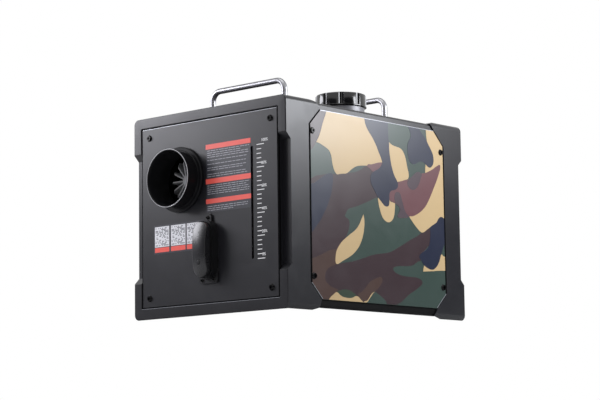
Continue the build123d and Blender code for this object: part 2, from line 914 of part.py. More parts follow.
# Combustion chamber: a perforated tube on a thick flange
with BuildPart() as combustion_chamber:
    turn_about_y(
        duct_x,
        duct_z,
        [
            (chamber_radius, front_y + chamber_start),
            (chamber_radius, front_y + core_end),
            (chamber_flange, front_y + core_end),
            (chamber_flange, front_y + chamber_flange_end),
            (chamber_throat, front_y + chamber_flange_end),
            (chamber_throat, front_y + core_end),
            (chamber_radius - chamber_wall, front_y + core_end),
            (chamber_radius - chamber_wall, front_y + chamber_start),
        ],
    )
    first_row = chamber_start + air_hole_start
    for y in (first_row, first_row + air_hole_pitch):
        for k in range(4):
            turn = radians(45 + 90 * k)
            reach = chamber_radius + overlap
            add_bar(
                (duct_x, front_y + y, duct_z),
                (duct_x + reach * cos(turn), front_y + y, duct_z + reach * sin(turn)),
                air_hole_radius,
                mode=Mode.SUBTRACT,
            )
    add_bar(
        (duct_x, front_y + fuel_y, duct_z),
        (duct_x, front_y + fuel_y, duct_z + chamber_flange + overlap),
        screw_shank + screw_gap,
        mode=Mode.SUBTRACT,
    )
combustion_chamber.part.label = "combustion_chamber"
export_step(combustion_chamber.part, "parts/combustion_chamber.step")

# Glow plug in the chamber's flange
with BuildPart() as glow_plug:
    plug_seat = duct_z + chamber_flange
    plug_y = front_y + fuel_y
    plug_top = plug_seat + plug_length
    add_bar((duct_x, plug_y, duct_z + chamber_throat + 1), (duct_x, plug_y, plug_seat + 1), screw_shank)
    add_bar((duct_x, plug_y, plug_seat + plug_gap), (duct_x, plug_y, plug_top), plug_radius)
    add_bar((duct_x, plug_y, plug_top), (duct_x, plug_y, plug_top + plug_terminal), screw_shank)
glow_plug.part.label = "glow_plug"
export_step(glow_plug.part, "parts/glow_plug.step")

# Housing of the combustion air blower, with its intake port
with BuildPart() as blower_housing:
    housing_a = front_y + chamber_flange_end
    housing_b = front_y + housing_end
    turn_about_y(
        duct_x,
        duct_z,
        [
            (chamber_throat, housing_a),
            (housing_radius, housing_a),
            (housing_radius, housing_b),
            (shaft_radius + 1, housing_b),
            (shaft_radius + 1, housing_b - housing_wall),
            (housing_radius - housing_wall, housing_b - housing_wall),
            (housing_radius - housing_wall, housing_a + housing_wall),
            (chamber_throat, housing_a + housing_wall),
        ],
    )
    port_top = duct_z - housing_radius + housing_wall / 2
    port_bottom = heater_bottom - port_drop
    add_bar(
        (duct_x, front_y + intake_y, port_bottom), (duct_x, front_y + intake_y, port_top), port_radius
    )
    add_bar(
        (duct_x, front_y + intake_y, port_bottom),
        (duct_x, front_y + intake_y, port_top + housing_wall),
        port_bore,
        mode=Mode.SUBTRACT,
    )
blower_housing.part.label = "blower_housing"
export_step(blower_housing.part, "parts/blower_housing.step")

# Combustion blower wheel: a disc with straight vanes
wheel_start = chamber_flange_end + (housing_length - wheel_length) / 2
with BuildPart() as combustion_blower_wheel:
    turn_about_y(
        duct_x,
        duct_z,
        [
            (shaft_radius + bearing_gap, front_y + wheel_start),
            (8, front_y + wheel_start),
            (8, front_y + wheel_start + wheel_length - 2),
            (wheel_radius, front_y + wheel_start + wheel_length - 2),
            (wheel_radius, front_y + wheel_start + wheel_length),
            (shaft_radius + bearing_gap, front_y + wheel_start + wheel_length),
        ],
    )
    for k in range(16):
        turn = radians(k * 360 / 16)
        vane_plane = Plane(
            origin=(duct_x, 0, duct_z),
            x_dir=(cos(turn), 0, sin(turn)),
            z_dir=(-sin(turn), 0, cos(turn)),
        )
        with BuildSketch(vane_plane):
            with Locations((wheel_radius - 8, front_y + wheel_start + wheel_length / 2)):
                Rectangle(14, wheel_length - 1)
        extrude(amount=0.75, both=True)
combustion_blower_wheel.part.label = "combustion_blower_wheel"
export_step(combustion_blower_wheel.part, "parts/combustion_blower_wheel.step")

# Fan motor, its two bearings, shaft and armature
with BuildPart() as fan_motor:
    motor_a = front_y + housing_end
    motor_b = front_y + motor_end
    turn_about_y(
        duct_x,
        duct_z,
        [
            (bearing_radius + bearing_gap, motor_a),
            (motor_radius, motor_a),
            (motor_radius, motor_b),
            (bearing_radius + bearing_gap, motor_b),
            (bearing_radius + bearing_gap, motor_b - motor_wall),
            (motor_inner, motor_b - motor_wall),
            (motor_inner, motor_a + motor_wall),
            (bearing_radius + bearing_gap, motor_a + motor_wall),
        ],
    )
fan_motor.part.label = "fan_motor"
export_step(fan_motor.part, "parts/fan_motor.step")

with BuildPart() as motor_bearings:
    for y in (motor_a, motor_b - motor_wall):
        turn_about_y(
            duct_x,
            duct_z,
            [
                (shaft_radius + shaft_gap, y),
                (bearing_radius, y),
                (bearing_radius, y + motor_wall),
                (shaft_radius + shaft_gap, y + motor_wall),
            ],
        )
motor_bearings.part.label = "motor_bearings"
export_step(motor_bearings.part, "parts/motor_bearings.step")

with BuildPart() as motor_shaft:
    add_bar(
        (duct_x, front_y + wheel_start, duct_z),
        (duct_x, front_y + fan_start + fan_length, duct_z),
        shaft_radius,
    )
motor_shaft.part.label = "motor_shaft"
export_step(motor_shaft.part, "parts/motor_shaft.step")

with BuildPart() as motor_armature:
    armature_a = motor_a + motor_wall + 4
    armature_b = motor_b - motor_wall - 4
    turn_about_y(
        duct_x,
        duct_z,
        [
            (shaft_radius + bearing_gap, armature_a),
            (armature_radius, armature_a),
            (armature_radius, armature_b),
            (shaft_radius + bearing_gap, armature_b),
        ],
    )
motor_armature.part.label = "motor_armature"
export_step(motor_armature.part, "parts/motor_armature.step")

# Hot-air fan: hub cup and pitched blades
with BuildPart() as hot_air_fan:
    fan_a = front_y + fan_start
    fan_b = fan_a + fan_length
    turn_about_y(
        duct_x,
        duct_z,
        [
            (shaft_radius + bearing_gap, fan_a),
            (fan_hub, fan_a),
            (fan_hub, fan_b - 4),
            (fan_hub - 4, fan_b),
            (shaft_radius + bearing_gap, fan_b),
        ],
    )
    for k in range(fan_blades):
        turn = radians(90 + k * 360 / fan_blades)
        out = Vector(cos(turn), 0, sin(turn))
        across = Vector(-sin(turn), 0, cos(turn))
        chord = across * cos(radians(blade_pitch)) + Vector(0, 1, 0) * sin(radians(blade_pitch))
        root = Vector(duct_x, (fan_a + fan_b) / 2, duct_z) + out * (fan_hub - 3)
        with BuildSketch(Plane(origin=root, x_dir=chord, z_dir=out)):
            Rectangle(blade_chord * 0.55, blade_thick)
        with BuildSketch(Plane(origin=root + out * (fan_radius - fan_hub), x_dir=chord, z_dir=out)):
            Rectangle(blade_chord, blade_thick)
        loft()
hot_air_fan.part.label = "hot_air_fan"
export_step(hot_air_fan.part, "parts/hot_air_fan.step")

# Control unit under the casing's roof, above the motor
with BuildPart() as control_unit:
    roof = duct_z + heater_inside
    add_block(
        (duct_x - control_width / 2, duct_x + control_width / 2),
        (motor_a, motor_a + control_length),
        (roof - control_height, roof),
    )
    fillet(control_unit.edges().filter_by(Axis.Z), 3)
control_unit.part.label = "control_unit"
export_step(control_unit.part, "parts/control_unit.step")

# Gasket and steel stand under the heater
floor_holes = [
    (duct_x, front_y + exhaust_y, exhaust_radius + pipe_gap),
    (duct_x, front_y + intake_y, port_radius + pipe_gap),
    (fuel_x, front_y + fuel_y, nipple + pipe_gap / 2),
]
gasket_bottom = heater_bottom - gasket_thick
stand_top = gasket_bottom
stand_left = duct_x - stand_width / 2
stand_right = duct_x + stand_width / 2
with BuildPart() as mounting_gasket:
    add_block(
        (stand_left + 6, stand_right - 6),
        (front_y + stand_start + 6, front_y + stand_end - 4),
        (gasket_bottom, heater_bottom),
    )
    for x, y, radius in floor_holes:
        add_bar((x, y, gasket_bottom - 1), (x, y, heater_bottom + 1), radius, mode=Mode.SUBTRACT)
mounting_gasket.part.label = "mounting_gasket"
export_step(mounting_gasket.part, "parts/mounting_gasket.step")

with BuildPart() as heater_stand:
    stand_y = (front_y + stand_start, front_y + stand_end)
    add_block((stand_left, stand_right), stand_y, (stand_top - sheet, stand_top))
    for x, outward in ((stand_left, -1), (stand_right - sheet, 1)):
        add_block((x, x + sheet), stand_y, (body_floor, stand_top))
        foot = sorted((x + sheet / 2, x + sheet / 2 + outward * stand_foot))
        add_block(foot, stand_y, (body_floor, body_floor + sheet))
        add_block(
            (x - 1, x + sheet + 1),
            (stand_y[0] + 30, stand_y[1] - 30),
            (body_floor + 25, stand_top - 25),
            mode=Mode.SUBTRACT,
        )
    for x, y, radius in floor_holes:
        add_bar((x, y, stand_top - sheet - 1), (x, y, stand_top + 1), radius, mode=Mode.SUBTRACT)
heater_stand.part.label = "heater_stand"
export_step(heater_stand.part, "parts/heater_stand.step")

# Exhaust: pipe down from the heat exchanger, muffler, and tail pipe out through the rear panel
with BuildPart() as exhaust_pipe:
    bend_route = [
        (duct_x, front_y + exhaust_y, heater_bottom + heater_wall),
        (duct_x, front_y + exhaust_y, exhaust_level),
        (duct_x, front_y + muffler_start, exhaust_level),
    ]
    add_tube(bend_route, exhaust_bend, exhaust_radius, exhaust_bore)
exhaust_pipe.part.label = "exhaust_pipe"
export_step(exhaust_pipe.part, "parts/exhaust_pipe.step")

muffler_a = front_y + muffler_start
muffler_b = muffler_a + muffler_length
muffler_inner = muffler_radius - 1.5
with BuildPart() as exhaust_muffler:
    turn_about_y(
        duct_x,
        exhaust_level,
        [
            (exhaust_bore, muffler_a),
            (muffler_radius - 3, muffler_a),
            (muffler_radius, muffler_a + 3),
            (muffler_radius, muffler_b - 3),
            (muffler_radius - 3, muffler_b),
            (exhaust_bore, muffler_b),
            (exhaust_bore, muffler_b - 1.5),
            (muffler_inner - 3, muffler_b - 1.5),
            (muffler_inner, muffler_b - 4.5),
            (muffler_inner, muffler_a + 4.5),
            (muffler_inner - 3, muffler_a + 1.5),
            (exhaust_bore, muffler_a + 1.5),
        ],
    )
exhaust_muffler.part.label = "exhaust_muffler"
export_step(exhaust_muffler.part, "parts/exhaust_muffler.step")

with BuildPart() as exhaust_tail:
    turn_about_y(
        duct_x,
        exhaust_level,
        [
            (exhaust_bore, muffler_b),
            (exhaust_radius, muffler_b),
            (exhaust_radius, panel_rear_y + flange_thick),
            (exhaust_radius + bead, panel_rear_y + flange_thick),
            (exhaust_radius + bead, panel_rear_y + flange_thick + bead),
            (exhaust_radius, panel_rear_y + flange_thick + bead),
            (exhaust_radius, back_y + stub_reach),
            (exhaust_bore, back_y + stub_reach),
        ],
    )
exhaust_tail.part.label = "exhaust_tail"
export_step(exhaust_tail.part, "parts/exhaust_tail.step")

with BuildPart() as exhaust_flange:
    with BuildSketch(face_plane(panel_rear_y)):
        with Locations((duct_x, exhaust_level)):
            RectangleRounded(flange_size, flange_size, flange_size / 6)
            Circle(exhaust_radius + bearing_gap, mode=Mode.SUBTRACT)
    extrude(amount=-flange_thick)
exhaust_flange.part.label = "exhaust_flange"
export_step(exhaust_flange.part, "parts/exhaust_flange.step")

# Combustion air intake pipe
with BuildPart() as intake_pipe:
    intake_route = [
        (duct_x, front_y + intake_y, port_bottom),
        (duct_x, front_y + intake_y, intake_level),
        (duct_x, back_y + intake_reach, intake_level),
    ]
    add_tube(intake_route, intake_bend, intake_radius, intake_bore)
    turn_about_y(
        duct_x,
        intake_level,
        [
            (intake_radius - bead / 2, panel_rear_y),
            (intake_radius + 2 * bead, panel_rear_y),
            (intake_radius + 2 * bead, panel_rear_y + bead),
            (intake_radius - bead / 2, panel_rear_y + bead),
        ],
    )
intake_pipe.part.label = "intake_pipe"
export_step(intake_pipe.part, "parts/intake_pipe.step")

# Inlet grille on the rear panel: rings and spokes
with BuildPart() as inlet_grille:
    with BuildSketch(face_plane(panel_rear_y)):
        with Locations((duct_x, duct_z)):
            Circle(grille_radius)
            Circle(inlet_radius - 1, mode=Mode.SUBTRACT)
            ring = inlet_radius - grille_pitch
            while ring > grille_pitch:
                Circle(ring)
                Circle(ring - grille_bar, mode=Mode.SUBTRACT)
                ring -= grille_pitch
            Circle(grille_pitch)
            for k in range(3):
                Rectangle(2 * inlet_radius, grille_bar, rotation=30 + 60 * k)
    extrude(amount=-grille_thick)
inlet_grille.part.label = "inlet_grille"
export_step(inlet_grille.part, "parts/inlet_grille.step")

# Cable gland in the rear panel
with BuildPart() as cable_gland:
    gland_in = panel_rear_inside_y
    with BuildSketch(face_plane(panel_rear_y)):
        with Locations((gland_x, gland_z)):
            RegularPolygon(gland_nut, 6)
    extrude(amount=-4)
    with BuildSketch(face_plane(gland_in)):
        with Locations((gland_x, gland_z)):
            RegularPolygon(gland_nut, 6)
    extrude(amount=4)
    add_bar((gland_x, gland_in - 6, gland_z), (gland_x, back_y + gland_reach - 4, gland_z), gland_radius)
    with BuildSketch(face_plane(back_y + gland_reach - 4)):
        with Locations((gland_x, gland_z)):
            Circle(gland_radius)
    extrude(amount=-4, taper=25)
    add_bar(
        (gland_x, gland_in - 8, gland_z),
        (gland_x, back_y + gland_reach + 1, gland_z),
        gland_bore,
        mode=Mode.SUBTRACT,
    )
cable_gland.part.label = "cable_gland"
export_step(cable_gland.part, "parts/cable_gland.step")

# Fuel tank: a blow-moulded box with a filler hole above and an outlet hole below
cap_centre_y = front_y + cap_y
with BuildPart() as fuel_tank:
    tank_x = (tank_left, tank_right)
    tank_y = (front_y + tank_front, front_y + tank_rear)
    add_block(tank_x, tank_y, (tank_low, tank_high))
    fillet(fuel_tank.edges().filter_by(Axis.Z), tank_corner)
    fillet(fuel_tank.faces().sort_by(Axis.Z)[-1].edges(), tank_wall * 2)
    fillet(fuel_tank.faces().sort_by(Axis.Z)[0].edges(), tank_wall * 2)
    offset(amount=-tank_wall, mode=Mode.SUBTRACT)
    add_bar(
        (cap_x, cap_centre_y, tank_high - 2 * tank_wall),
        (cap_x, cap_centre_y, tank_high + 1),
        neck_radius + neck_gap,
        mode=Mode.SUBTRACT,
    )
    add_bar(
        (outlet_x, front_y + outlet_y, tank_low - 1),
        (outlet_x, front_y + outlet_y, tank_low + 2 * tank_wall),
        nipple,
        mode=Mode.SUBTRACT,
    )
fuel_tank.part.label = "fuel_tank"
export_step(fuel_tank.part, "parts/fuel_tank.step")

# Filler neck, the collar above the top cover, the cap and its gasket
with BuildPart() as filler_neck:
    turn_about_z(
        cap_x,
        cap_centre_y,
        [
            (neck_bore, tank_high - tank_wall),
            (neck_radius, tank_high - tank_wall),
            (neck_radius, tank_high),
            (neck_flange, tank_high),
            (neck_flange, tank_high + neck_flange_thick),
            (neck_radius, tank_high + neck_flange_thick),
            (neck_radius, neck_top),
            (neck_bore, neck_top),
        ],
    )
filler_neck.part.label = "filler_neck"
export_step(filler_neck.part, "parts/filler_neck.step")

with BuildPart() as neck_collar:
    turn_about_z(
        cap_x,
        cap_centre_y,
        [
            (neck_radius + neck_gap, body_high),
            (collar_radius + 1.5, body_high),
            (collar_radius, body_high + 2),
            (collar_radius, collar_top - 0.5),
            (collar_radius - 0.5, collar_top),
            (neck_radius + neck_gap, collar_top),
        ],
    )
neck_collar.part.label = "neck_collar"
export_step(neck_collar.part, "parts/neck_collar.step")

with BuildPart() as filler_cap:
    turn_about_z(
        cap_x,
        cap_centre_y,
        [
            (0, cap_high - cap_roof),
            (cap_bore, cap_high - cap_roof),
            (cap_bore, cap_low),
            (cap_radius + 0.4, cap_low),
            (cap_radius + 0.4, cap_low + 1),
            (cap_radius, cap_low + 1.4),
            (cap_radius, cap_high - 2),
            (cap_radius - 0.6, cap_high - 0.7),
            (cap_radius - 2, cap_high),
            (0, cap_high),
        ],
    )
    with BuildSketch(Plane.XY.offset(cap_low + 1.4)):
        with Locations((cap_x, cap_centre_y)):
            with PolarLocations(cap_groove_centre, cap_lobes, start_angle=-48):
                Circle(cap_groove)
    extrude(amount=cap_high - cap_low, mode=Mode.SUBTRACT)
filler_cap.part.label = "filler_cap"
export_step(filler_cap.part, "parts/filler_cap.step")

with BuildPart() as cap_gasket:
    turn_about_z(
        cap_x,
        cap_centre_y,
        [
            (neck_bore, neck_top + gasket_low_gap),
            (cap_bore - 0.5, neck_top + gasket_low_gap),
            (cap_bore - 0.5, cap_high - cap_roof),
            (neck_bore, cap_high - cap_roof),
        ],
    )
cap_gasket.part.label = "cap_gasket"
export_step(cap_gasket.part, "parts/cap_gasket.step")

# Clear sight tube behind the slot in the front panel
with BuildPart() as sight_tube:
    sight_route = [
        (slot_x, front_y + tank_front, sight_low),
        (slot_x, front_y + sight_y, sight_low),
        (slot_x, front_y + sight_y, sight_high),
        (slot_x, front_y + tank_front, sight_high),
    ]
    add_tube(sight_route, sight_bend, sight_radius, sight_bore)
sight_tube.part.label = "sight_tube"
export_step(sight_tube.part, "parts/sight_tube.step")

# Steel shelf that carries the tank
with BuildPart() as tank_shelf:
    shelf_y = (front_y + shelf_start, front_y + shelf_end)
    shelf_left = tank_left
    shelf_right = tank_right - 1
    add_block((shelf_left, shelf_right), shelf_y, (tank_low - sheet, tank_low))
    for x, inward in ((shelf_left, 1), (shelf_right - sheet, -1)):
        add_block((x, x + sheet), shelf_y, (body_floor, tank_low))
        foot = sorted((x + sheet / 2, x + sheet / 2 + inward * shelf_foot))
        add_block(foot, shelf_y, (body_floor, body_floor + sheet))
    add_bar(
        (outlet_x, front_y + outlet_y, tank_low - sheet - 1),
        (outlet_x, front_y + outlet_y, tank_low + 1),
        outlet_body + pipe_gap,
        mode=Mode.SUBTRACT,
    )
tank_shelf.part.label = "tank_shelf"
export_step(tank_shelf.part, "parts/tank_shelf.step")

# Tank outlet fitting
outlet_seat = tank_low - outlet_body_length
with BuildPart() as tank_outlet:
    spot = (outlet_x, front_y + outlet_y)
    add_bar((*spot, outlet_seat), (*spot, tank_low), outlet_body)
    add_bar((*spot, outlet_seat - outlet_nipple_length), (*spot, outlet_seat), nipple)
    add_bar(
        (*spot, outlet_seat - outlet_nipple_length - overlap),
        (*spot, tank_low + overlap),
        nipple_bore,
        mode=Mode.SUBTRACT,
    )
tank_outlet.part.label = "tank_outlet"
export_step(tank_outlet.part, "parts/tank_outlet.step")

# Fuel filter
filter_end = filter_start + filter_length
with BuildPart() as fuel_filter:
    turn_about_y(
        outlet_x,
        line_level,
        [
            (nipple_bore, front_y + filter_start - nipple_length),
            (nipple, front_y + filter_start - nipple_length),
            (nipple, front_y + filter_start),
            (filter_radius, front_y + filter_start + 6),
            (filter_radius, front_y + filter_end - 6),
            (nipple, front_y + filter_end),
            (nipple, front_y + filter_end + nipple_length),
            (nipple_bore, front_y + filter_end + nipple_length),
        ],
    )
fuel_filter.part.label = "fuel_filter"
export_step(fuel_filter.part, "parts/fuel_filter.step")

# Dosing pump: a steel barrel with a sprung piston inside
pump_end = pump_start + pump_length
chamber_a = front_y + pump_start + pump_wall
chamber_b = chamber_a + piston_length + piston_stroke + 2 * piston_gap
with BuildPart() as fuel_pump:
    turn_about_y(
        pump_x,
        line_level,
        [
            (nipple_bore, front_y + pump_start - nipple_length),
            (nipple, front_y + pump_start - nipple_length),
            (nipple, front_y + pump_start),
            (pump_radius - 2, front_y + pump_start),
            (pump_radius, front_y + pump_start + 2),
            (pump_radius, front_y + pump_end - 2),
            (pump_radius - 2, front_y + pump_end),
            (nipple, front_y + pump_end),
            (nipple, front_y + pump_end + nipple_length),
            (nipple_bore, front_y + pump_end + nipple_length),
            (nipple_bore, chamber_b),
            (piston_radius, chamber_b),
            (piston_radius, chamber_a),
            (nipple_bore, chamber_a),
        ],
    )
fuel_pump.part.label = "fuel_pump"
export_step(fuel_pump.part, "parts/fuel_pump.step")

with BuildPart() as pump_piston:
    piston_a = chamber_a + piston_gap
    turn_about_y(
        pump_x,
        line_level,
        [
            (nipple_bore, piston_a),
            (piston_radius - piston_gap, piston_a),
            (piston_radius - piston_gap, piston_a + piston_length),
            (nipple_bore, piston_a + piston_length),
        ],
    )
pump_piston.part.label = "pump_piston"
export_step(pump_piston.part, "parts/pump_piston.step")

# Clamp that holds the pump above the base tray
with BuildPart() as pump_clamp:
    clamp_y = front_y + (pump_start + pump_end) / 2
    clamp_span = (clamp_y - clamp_width / 2, clamp_y + clamp_width / 2)
    add_bar(
        (pump_x, clamp_span[0], line_level),
        (pump_x, clamp_span[1], line_level),
        pump_radius + clamp_wall,
    )
    add_block((pump_x - clamp_foot / 2, pump_x + clamp_foot / 2), clamp_span, (body_floor, line_level))
    add_bar(
        (pump_x, clamp_span[0] - 1, line_level),
        (pump_x, clamp_span[1] + 1, line_level),
        pump_radius + bearing_gap,
        mode=Mode.SUBTRACT,
    )
pump_clamp.part.label = "pump_clamp"
export_step(pump_clamp.part, "parts/pump_clamp.step")

# Fuel lines: tank to filter, filter to pump, pump to heater
with BuildPart() as fuel_line_tank:
    tank_route = [
        (outlet_x, front_y + outlet_y, outlet_seat - seat_gap),
        (outlet_x, front_y + outlet_y, line_level),
        (outlet_x, front_y + filter_start - seat_gap, line_level),
    ]
    add_tube(tank_route, line_bend, line_radius, line_bore)
fuel_line_tank.part.label = "fuel_line_tank"
export_step(fuel_line_tank.part, "parts/fuel_line_tank.step")

with BuildPart() as fuel_line_filter:
    filter_route = [
        (outlet_x, front_y + filter_end + seat_gap, line_level),
        (outlet_x, front_y + filter_end + hose_step, line_level),
        (pump_x, front_y + pump_start - hose_step, line_level),
        (pump_x, front_y + pump_start - seat_gap, line_level),
    ]
    add_tube(filter_route, line_bend / 2, line_radius, line_bore)
fuel_line_filter.part.label = "fuel_line_filter"
export_step(fuel_line_filter.part, "parts/fuel_line_filter.step")

with BuildPart() as fuel_line_heater:
    heater_route = [
        (pump_x, front_y + pump_end + seat_gap, line_level),
        (pump_x, front_y + line_turn_y, line_level),
        (fuel_x, front_y + line_turn_y, line_level),
        (fuel_x, front_y + fuel_y, line_level),
        (fuel_x, front_y + fuel_y, line_top),
    ]
    add_tube(heater_route, line_bend, line_radius, line_bore)
fuel_line_heater.part.label = "fuel_line_heater"
export_step(fuel_line_heater.part, "parts/fuel_line_heater.step")

# Steel pipe from the fuel line up to the chamber's flange
with BuildPart() as fuel_inlet_pipe:
    flange_drop = sqrt(chamber_flange**2 - (fuel_x - nipple - duct_x) ** 2)
    pipe_top = duct_z - flange_drop - button_gap
    fuel_spot = (fuel_x, front_y + fuel_y)
    add_bar((*fuel_spot, line_top - nipple_length), (*fuel_spot, pipe_top), nipple)
    add_bar(
        (*fuel_spot, line_top - nipple_length - overlap),
        (*fuel_spot, pipe_top + overlap),
        nipple_bore,
        mode=Mode.SUBTRACT,
    )
fuel_inlet_pipe.part.label = "fuel_inlet_pipe"
export_step(fuel_inlet_pipe.part, "parts/fuel_inlet_pipe.step")

# Holder of the hand controller: a base with an ear and a foot, and a cup round the controller
cup_width = controller_width + 2 * (controller_gap + holder_wall)
cup_height = controller_height + 2 * (controller_gap + holder_wall)
with BuildPart() as handset_holder:
    with BuildSketch(face_plane(panel_front_y)):
        with Locations((holder_x, holder_z)):
            SlotOverall(cup_height, cup_width, rotation=90)
        with Locations((holder_x, holder_foot_low + holder_foot_height / 2)):
            RectangleRounded(holder_foot_width, holder_foot_height, 4)
        with Locations((holder_x, holder_ear_z)):
            Circle(holder_ear_radius)
        with Locations((holder_x, holder_ear_z - holder_ear_radius / 2 - 2)):
            Rectangle(2 * holder_ear_radius, holder_ear_radius + 4)
        with Locations(*holder_screw_spots):
            Circle(holder_screw_shank + screw_gap, mode=Mode.SUBTRACT)
    extrude(amount=holder_base)
    with BuildSketch(face_plane(controller_base_y)):
        with Locations((holder_x, holder_z)):
            SlotOverall(cup_height, cup_width, rotation=90)
            SlotOverall(
                controller_height + 2 * controller_gap,
                controller_width + 2 * controller_gap,
                rotation=90,
                mode=Mode.SUBTRACT,
            )
    extrude(amount=holder_rise - holder_base)
handset_holder.part.label = "handset_holder"
export_step(handset_holder.part, "parts/handset_holder.step")

with BuildPart() as handset_holder_screws:
    for x, z in holder_screw_spots:
        seat = Plane(origin=(x, controller_base_y, z), x_dir=(1, 0, 0), z_dir=(0, -1, 0))
        add_screw(seat, holder_screw_length, holder_screw_head, holder_screw_shank)
handset_holder_screws.part.label = "handset_holder_screws"
export_step(handset_holder_screws.part, "parts/handset_holder_screws.step")

# Hand controller: back shell, domed face, board and one button
back_seat = controller_base_y - controller_gap
shell_join = back_seat - controller_back
face_front = shell_join - controller_face
inner_height = controller_height - 2 * controller_wall
inner_width = controller_width - 2 * controller_wall
with BuildPart() as handset_back:
    with BuildSketch(face_plane(back_seat)):
        with Locations((holder_x, holder_z)):
            SlotOverall(controller_height, controller_width, rotation=90)
    extrude(amount=controller_back)
    fillet(handset_back.faces().sort_by(Axis.Y)[-1].edges(), 1.5)
    with BuildSketch(face_plane(back_seat - controller_wall)):
        with Locations((holder_x, holder_z)):
            SlotOverall(inner_height, inner_width, rotation=90)
    extrude(amount=controller_back, mode=Mode.SUBTRACT)
handset_back.part.label = "handset_back"
export_step(handset_back.part, "parts/handset_back.step")

# the face is a slot-shaped block under a crown that falls back at the ends and the sides
crown_end_radius = (controller_height**2 / 4 + controller_crown_end**2) / (2 * controller_crown_end)
crown_side_radius = (controller_width**2 / 4 + controller_crown_side**2) / (2 * controller_crown_side)


def crowned_slot(height, width, rise):
    crest = shell_join - rise
    sunk = controller_face - rise
    half = width / 2 + overlap
    side_radius = crown_side_radius - sunk
    side_y = crest + side_radius - sqrt(side_radius**2 - half**2)
    with BuildPart() as crown:
        with BuildSketch(face_plane(shell_join)):
            with Locations((holder_x, holder_z)):
                SlotOverall(height, width, rotation=90)
        extrude(amount=rise, taper=controller_taper)
        with BuildSketch(Plane(origin=(0, 0, holder_z))) as profile:
            with BuildLine():
                ThreePointArc((holder_x - half, side_y), (holder_x, crest), (holder_x + half, side_y))
                Polyline(
                    (holder_x + half, side_y),
                    (holder_x + half, shell_join + overlap),
                    (holder_x - half, shell_join + overlap),
                    (holder_x - half, side_y),
                )
            make_face()
        axle = Axis((0, face_front + crown_end_radius, holder_z), (1, 0, 0))
        revolve(profile.sketch, axis=axle, mode=Mode.INTERSECT)
    return crown


with BuildPart() as handset_face:
    add(crowned_slot(controller_height, controller_width, controller_face).part)
    fillet(handset_face.faces().sort_by(Axis.Y)[0].edges(), controller_round)
    hollow = crowned_slot(inner_height, inner_width, controller_face - controller_wall)
    add(hollow.part, mode=Mode.SUBTRACT)
    with BuildSketch(face_plane(shell_join)):
        with Locations((holder_x, button_z)):
            Circle(button_radius + button_gap)
    extrude(amount=controller_face + overlap, mode=Mode.SUBTRACT)
handset_face.part.label = "handset_face"
export_step(handset_face.part, "parts/handset_face.step")

with BuildPart() as handset_board:
    board_face = shell_join + 1
    with BuildSketch(face_plane(board_face)):
        with Locations((holder_x, holder_z)):
            SlotOverall(inner_height - 0.4, inner_width - 0.4, rotation=90)
    extrude(amount=-board_thick)
handset_board.part.label = "handset_board"
export_step(handset_board.part, "parts/handset_board.step")

button_off = abs(button_z - holder_z)
button_back = crown_end_radius - sqrt(crown_end_radius**2 - button_off**2)
with BuildPart() as handset_button:
    with BuildSketch(face_plane(face_front + button_back - button_proud)):
        with Locations((holder_x, button_z)):
            Circle(button_radius)
    extrude(amount=-button_height)
    fillet(handset_button.faces().sort_by(Axis.Y)[0].edges(), 0.6)
handset_button.part.label = "handset_button"
export_step(handset_button.part, "parts/handset_button.step")
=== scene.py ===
import json
import math

import bpy
from mathutils import Matrix, Vector

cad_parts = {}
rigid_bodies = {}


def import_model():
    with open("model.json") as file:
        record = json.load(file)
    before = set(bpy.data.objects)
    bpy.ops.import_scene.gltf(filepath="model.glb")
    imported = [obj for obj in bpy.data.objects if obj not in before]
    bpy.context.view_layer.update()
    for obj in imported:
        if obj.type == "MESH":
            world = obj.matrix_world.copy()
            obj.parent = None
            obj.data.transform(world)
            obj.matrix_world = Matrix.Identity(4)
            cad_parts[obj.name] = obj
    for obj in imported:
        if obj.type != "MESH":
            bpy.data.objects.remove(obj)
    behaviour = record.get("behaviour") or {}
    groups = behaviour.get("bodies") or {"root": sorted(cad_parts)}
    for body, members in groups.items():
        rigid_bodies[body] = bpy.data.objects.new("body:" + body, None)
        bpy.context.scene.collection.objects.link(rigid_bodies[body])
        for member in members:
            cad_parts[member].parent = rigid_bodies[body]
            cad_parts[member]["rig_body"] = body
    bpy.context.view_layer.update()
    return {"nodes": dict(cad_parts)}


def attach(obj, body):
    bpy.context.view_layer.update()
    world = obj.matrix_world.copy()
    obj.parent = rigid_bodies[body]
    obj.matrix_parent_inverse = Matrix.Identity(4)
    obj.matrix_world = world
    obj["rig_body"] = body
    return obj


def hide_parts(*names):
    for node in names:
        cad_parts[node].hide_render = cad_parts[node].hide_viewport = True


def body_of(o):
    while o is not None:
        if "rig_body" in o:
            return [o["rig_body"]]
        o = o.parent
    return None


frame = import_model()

cadNodes = frame["nodes"]
scene = bpy.context.scene
mm = 0.001


def reachOf(nodeName, axis, pick):  # a CAD node's lowest (min) or highest (max) value along one axis, in mm
    return round(pick(vertex.co[axis] for vertex in cadNodes[nodeName].data.vertices) / mm, 3)


frontY = reachOf("front_frame", 1, min)  # the case's front face, where the side prints are measured from
panelFace = reachOf("front_panel", 1, min)
sideFace = reachOf("side_panel_right", 0, max)


# small tools
def dropSelection():
    active = bpy.context.view_layer.objects.active
    if active is not None and active.mode != "OBJECT":
        bpy.ops.object.mode_set(mode="OBJECT")
    bpy.ops.object.select_all(action="DESELECT")


def pickUp(*pieces):
    dropSelection()
    for piece in pieces:
        piece.select_set(True)
    bpy.context.view_layer.objects.active = pieces[0]


def editAll(piece):
    pickUp(piece)
    bpy.ops.object.mode_set(mode="EDIT")
    bpy.ops.mesh.select_all(action="SELECT")


def stopEdit():
    bpy.ops.object.mode_set(mode="OBJECT")


def freezePlace(piece):
    pickUp(piece)
    bpy.ops.object.transform_apply(location=True, rotation=True, scale=True)


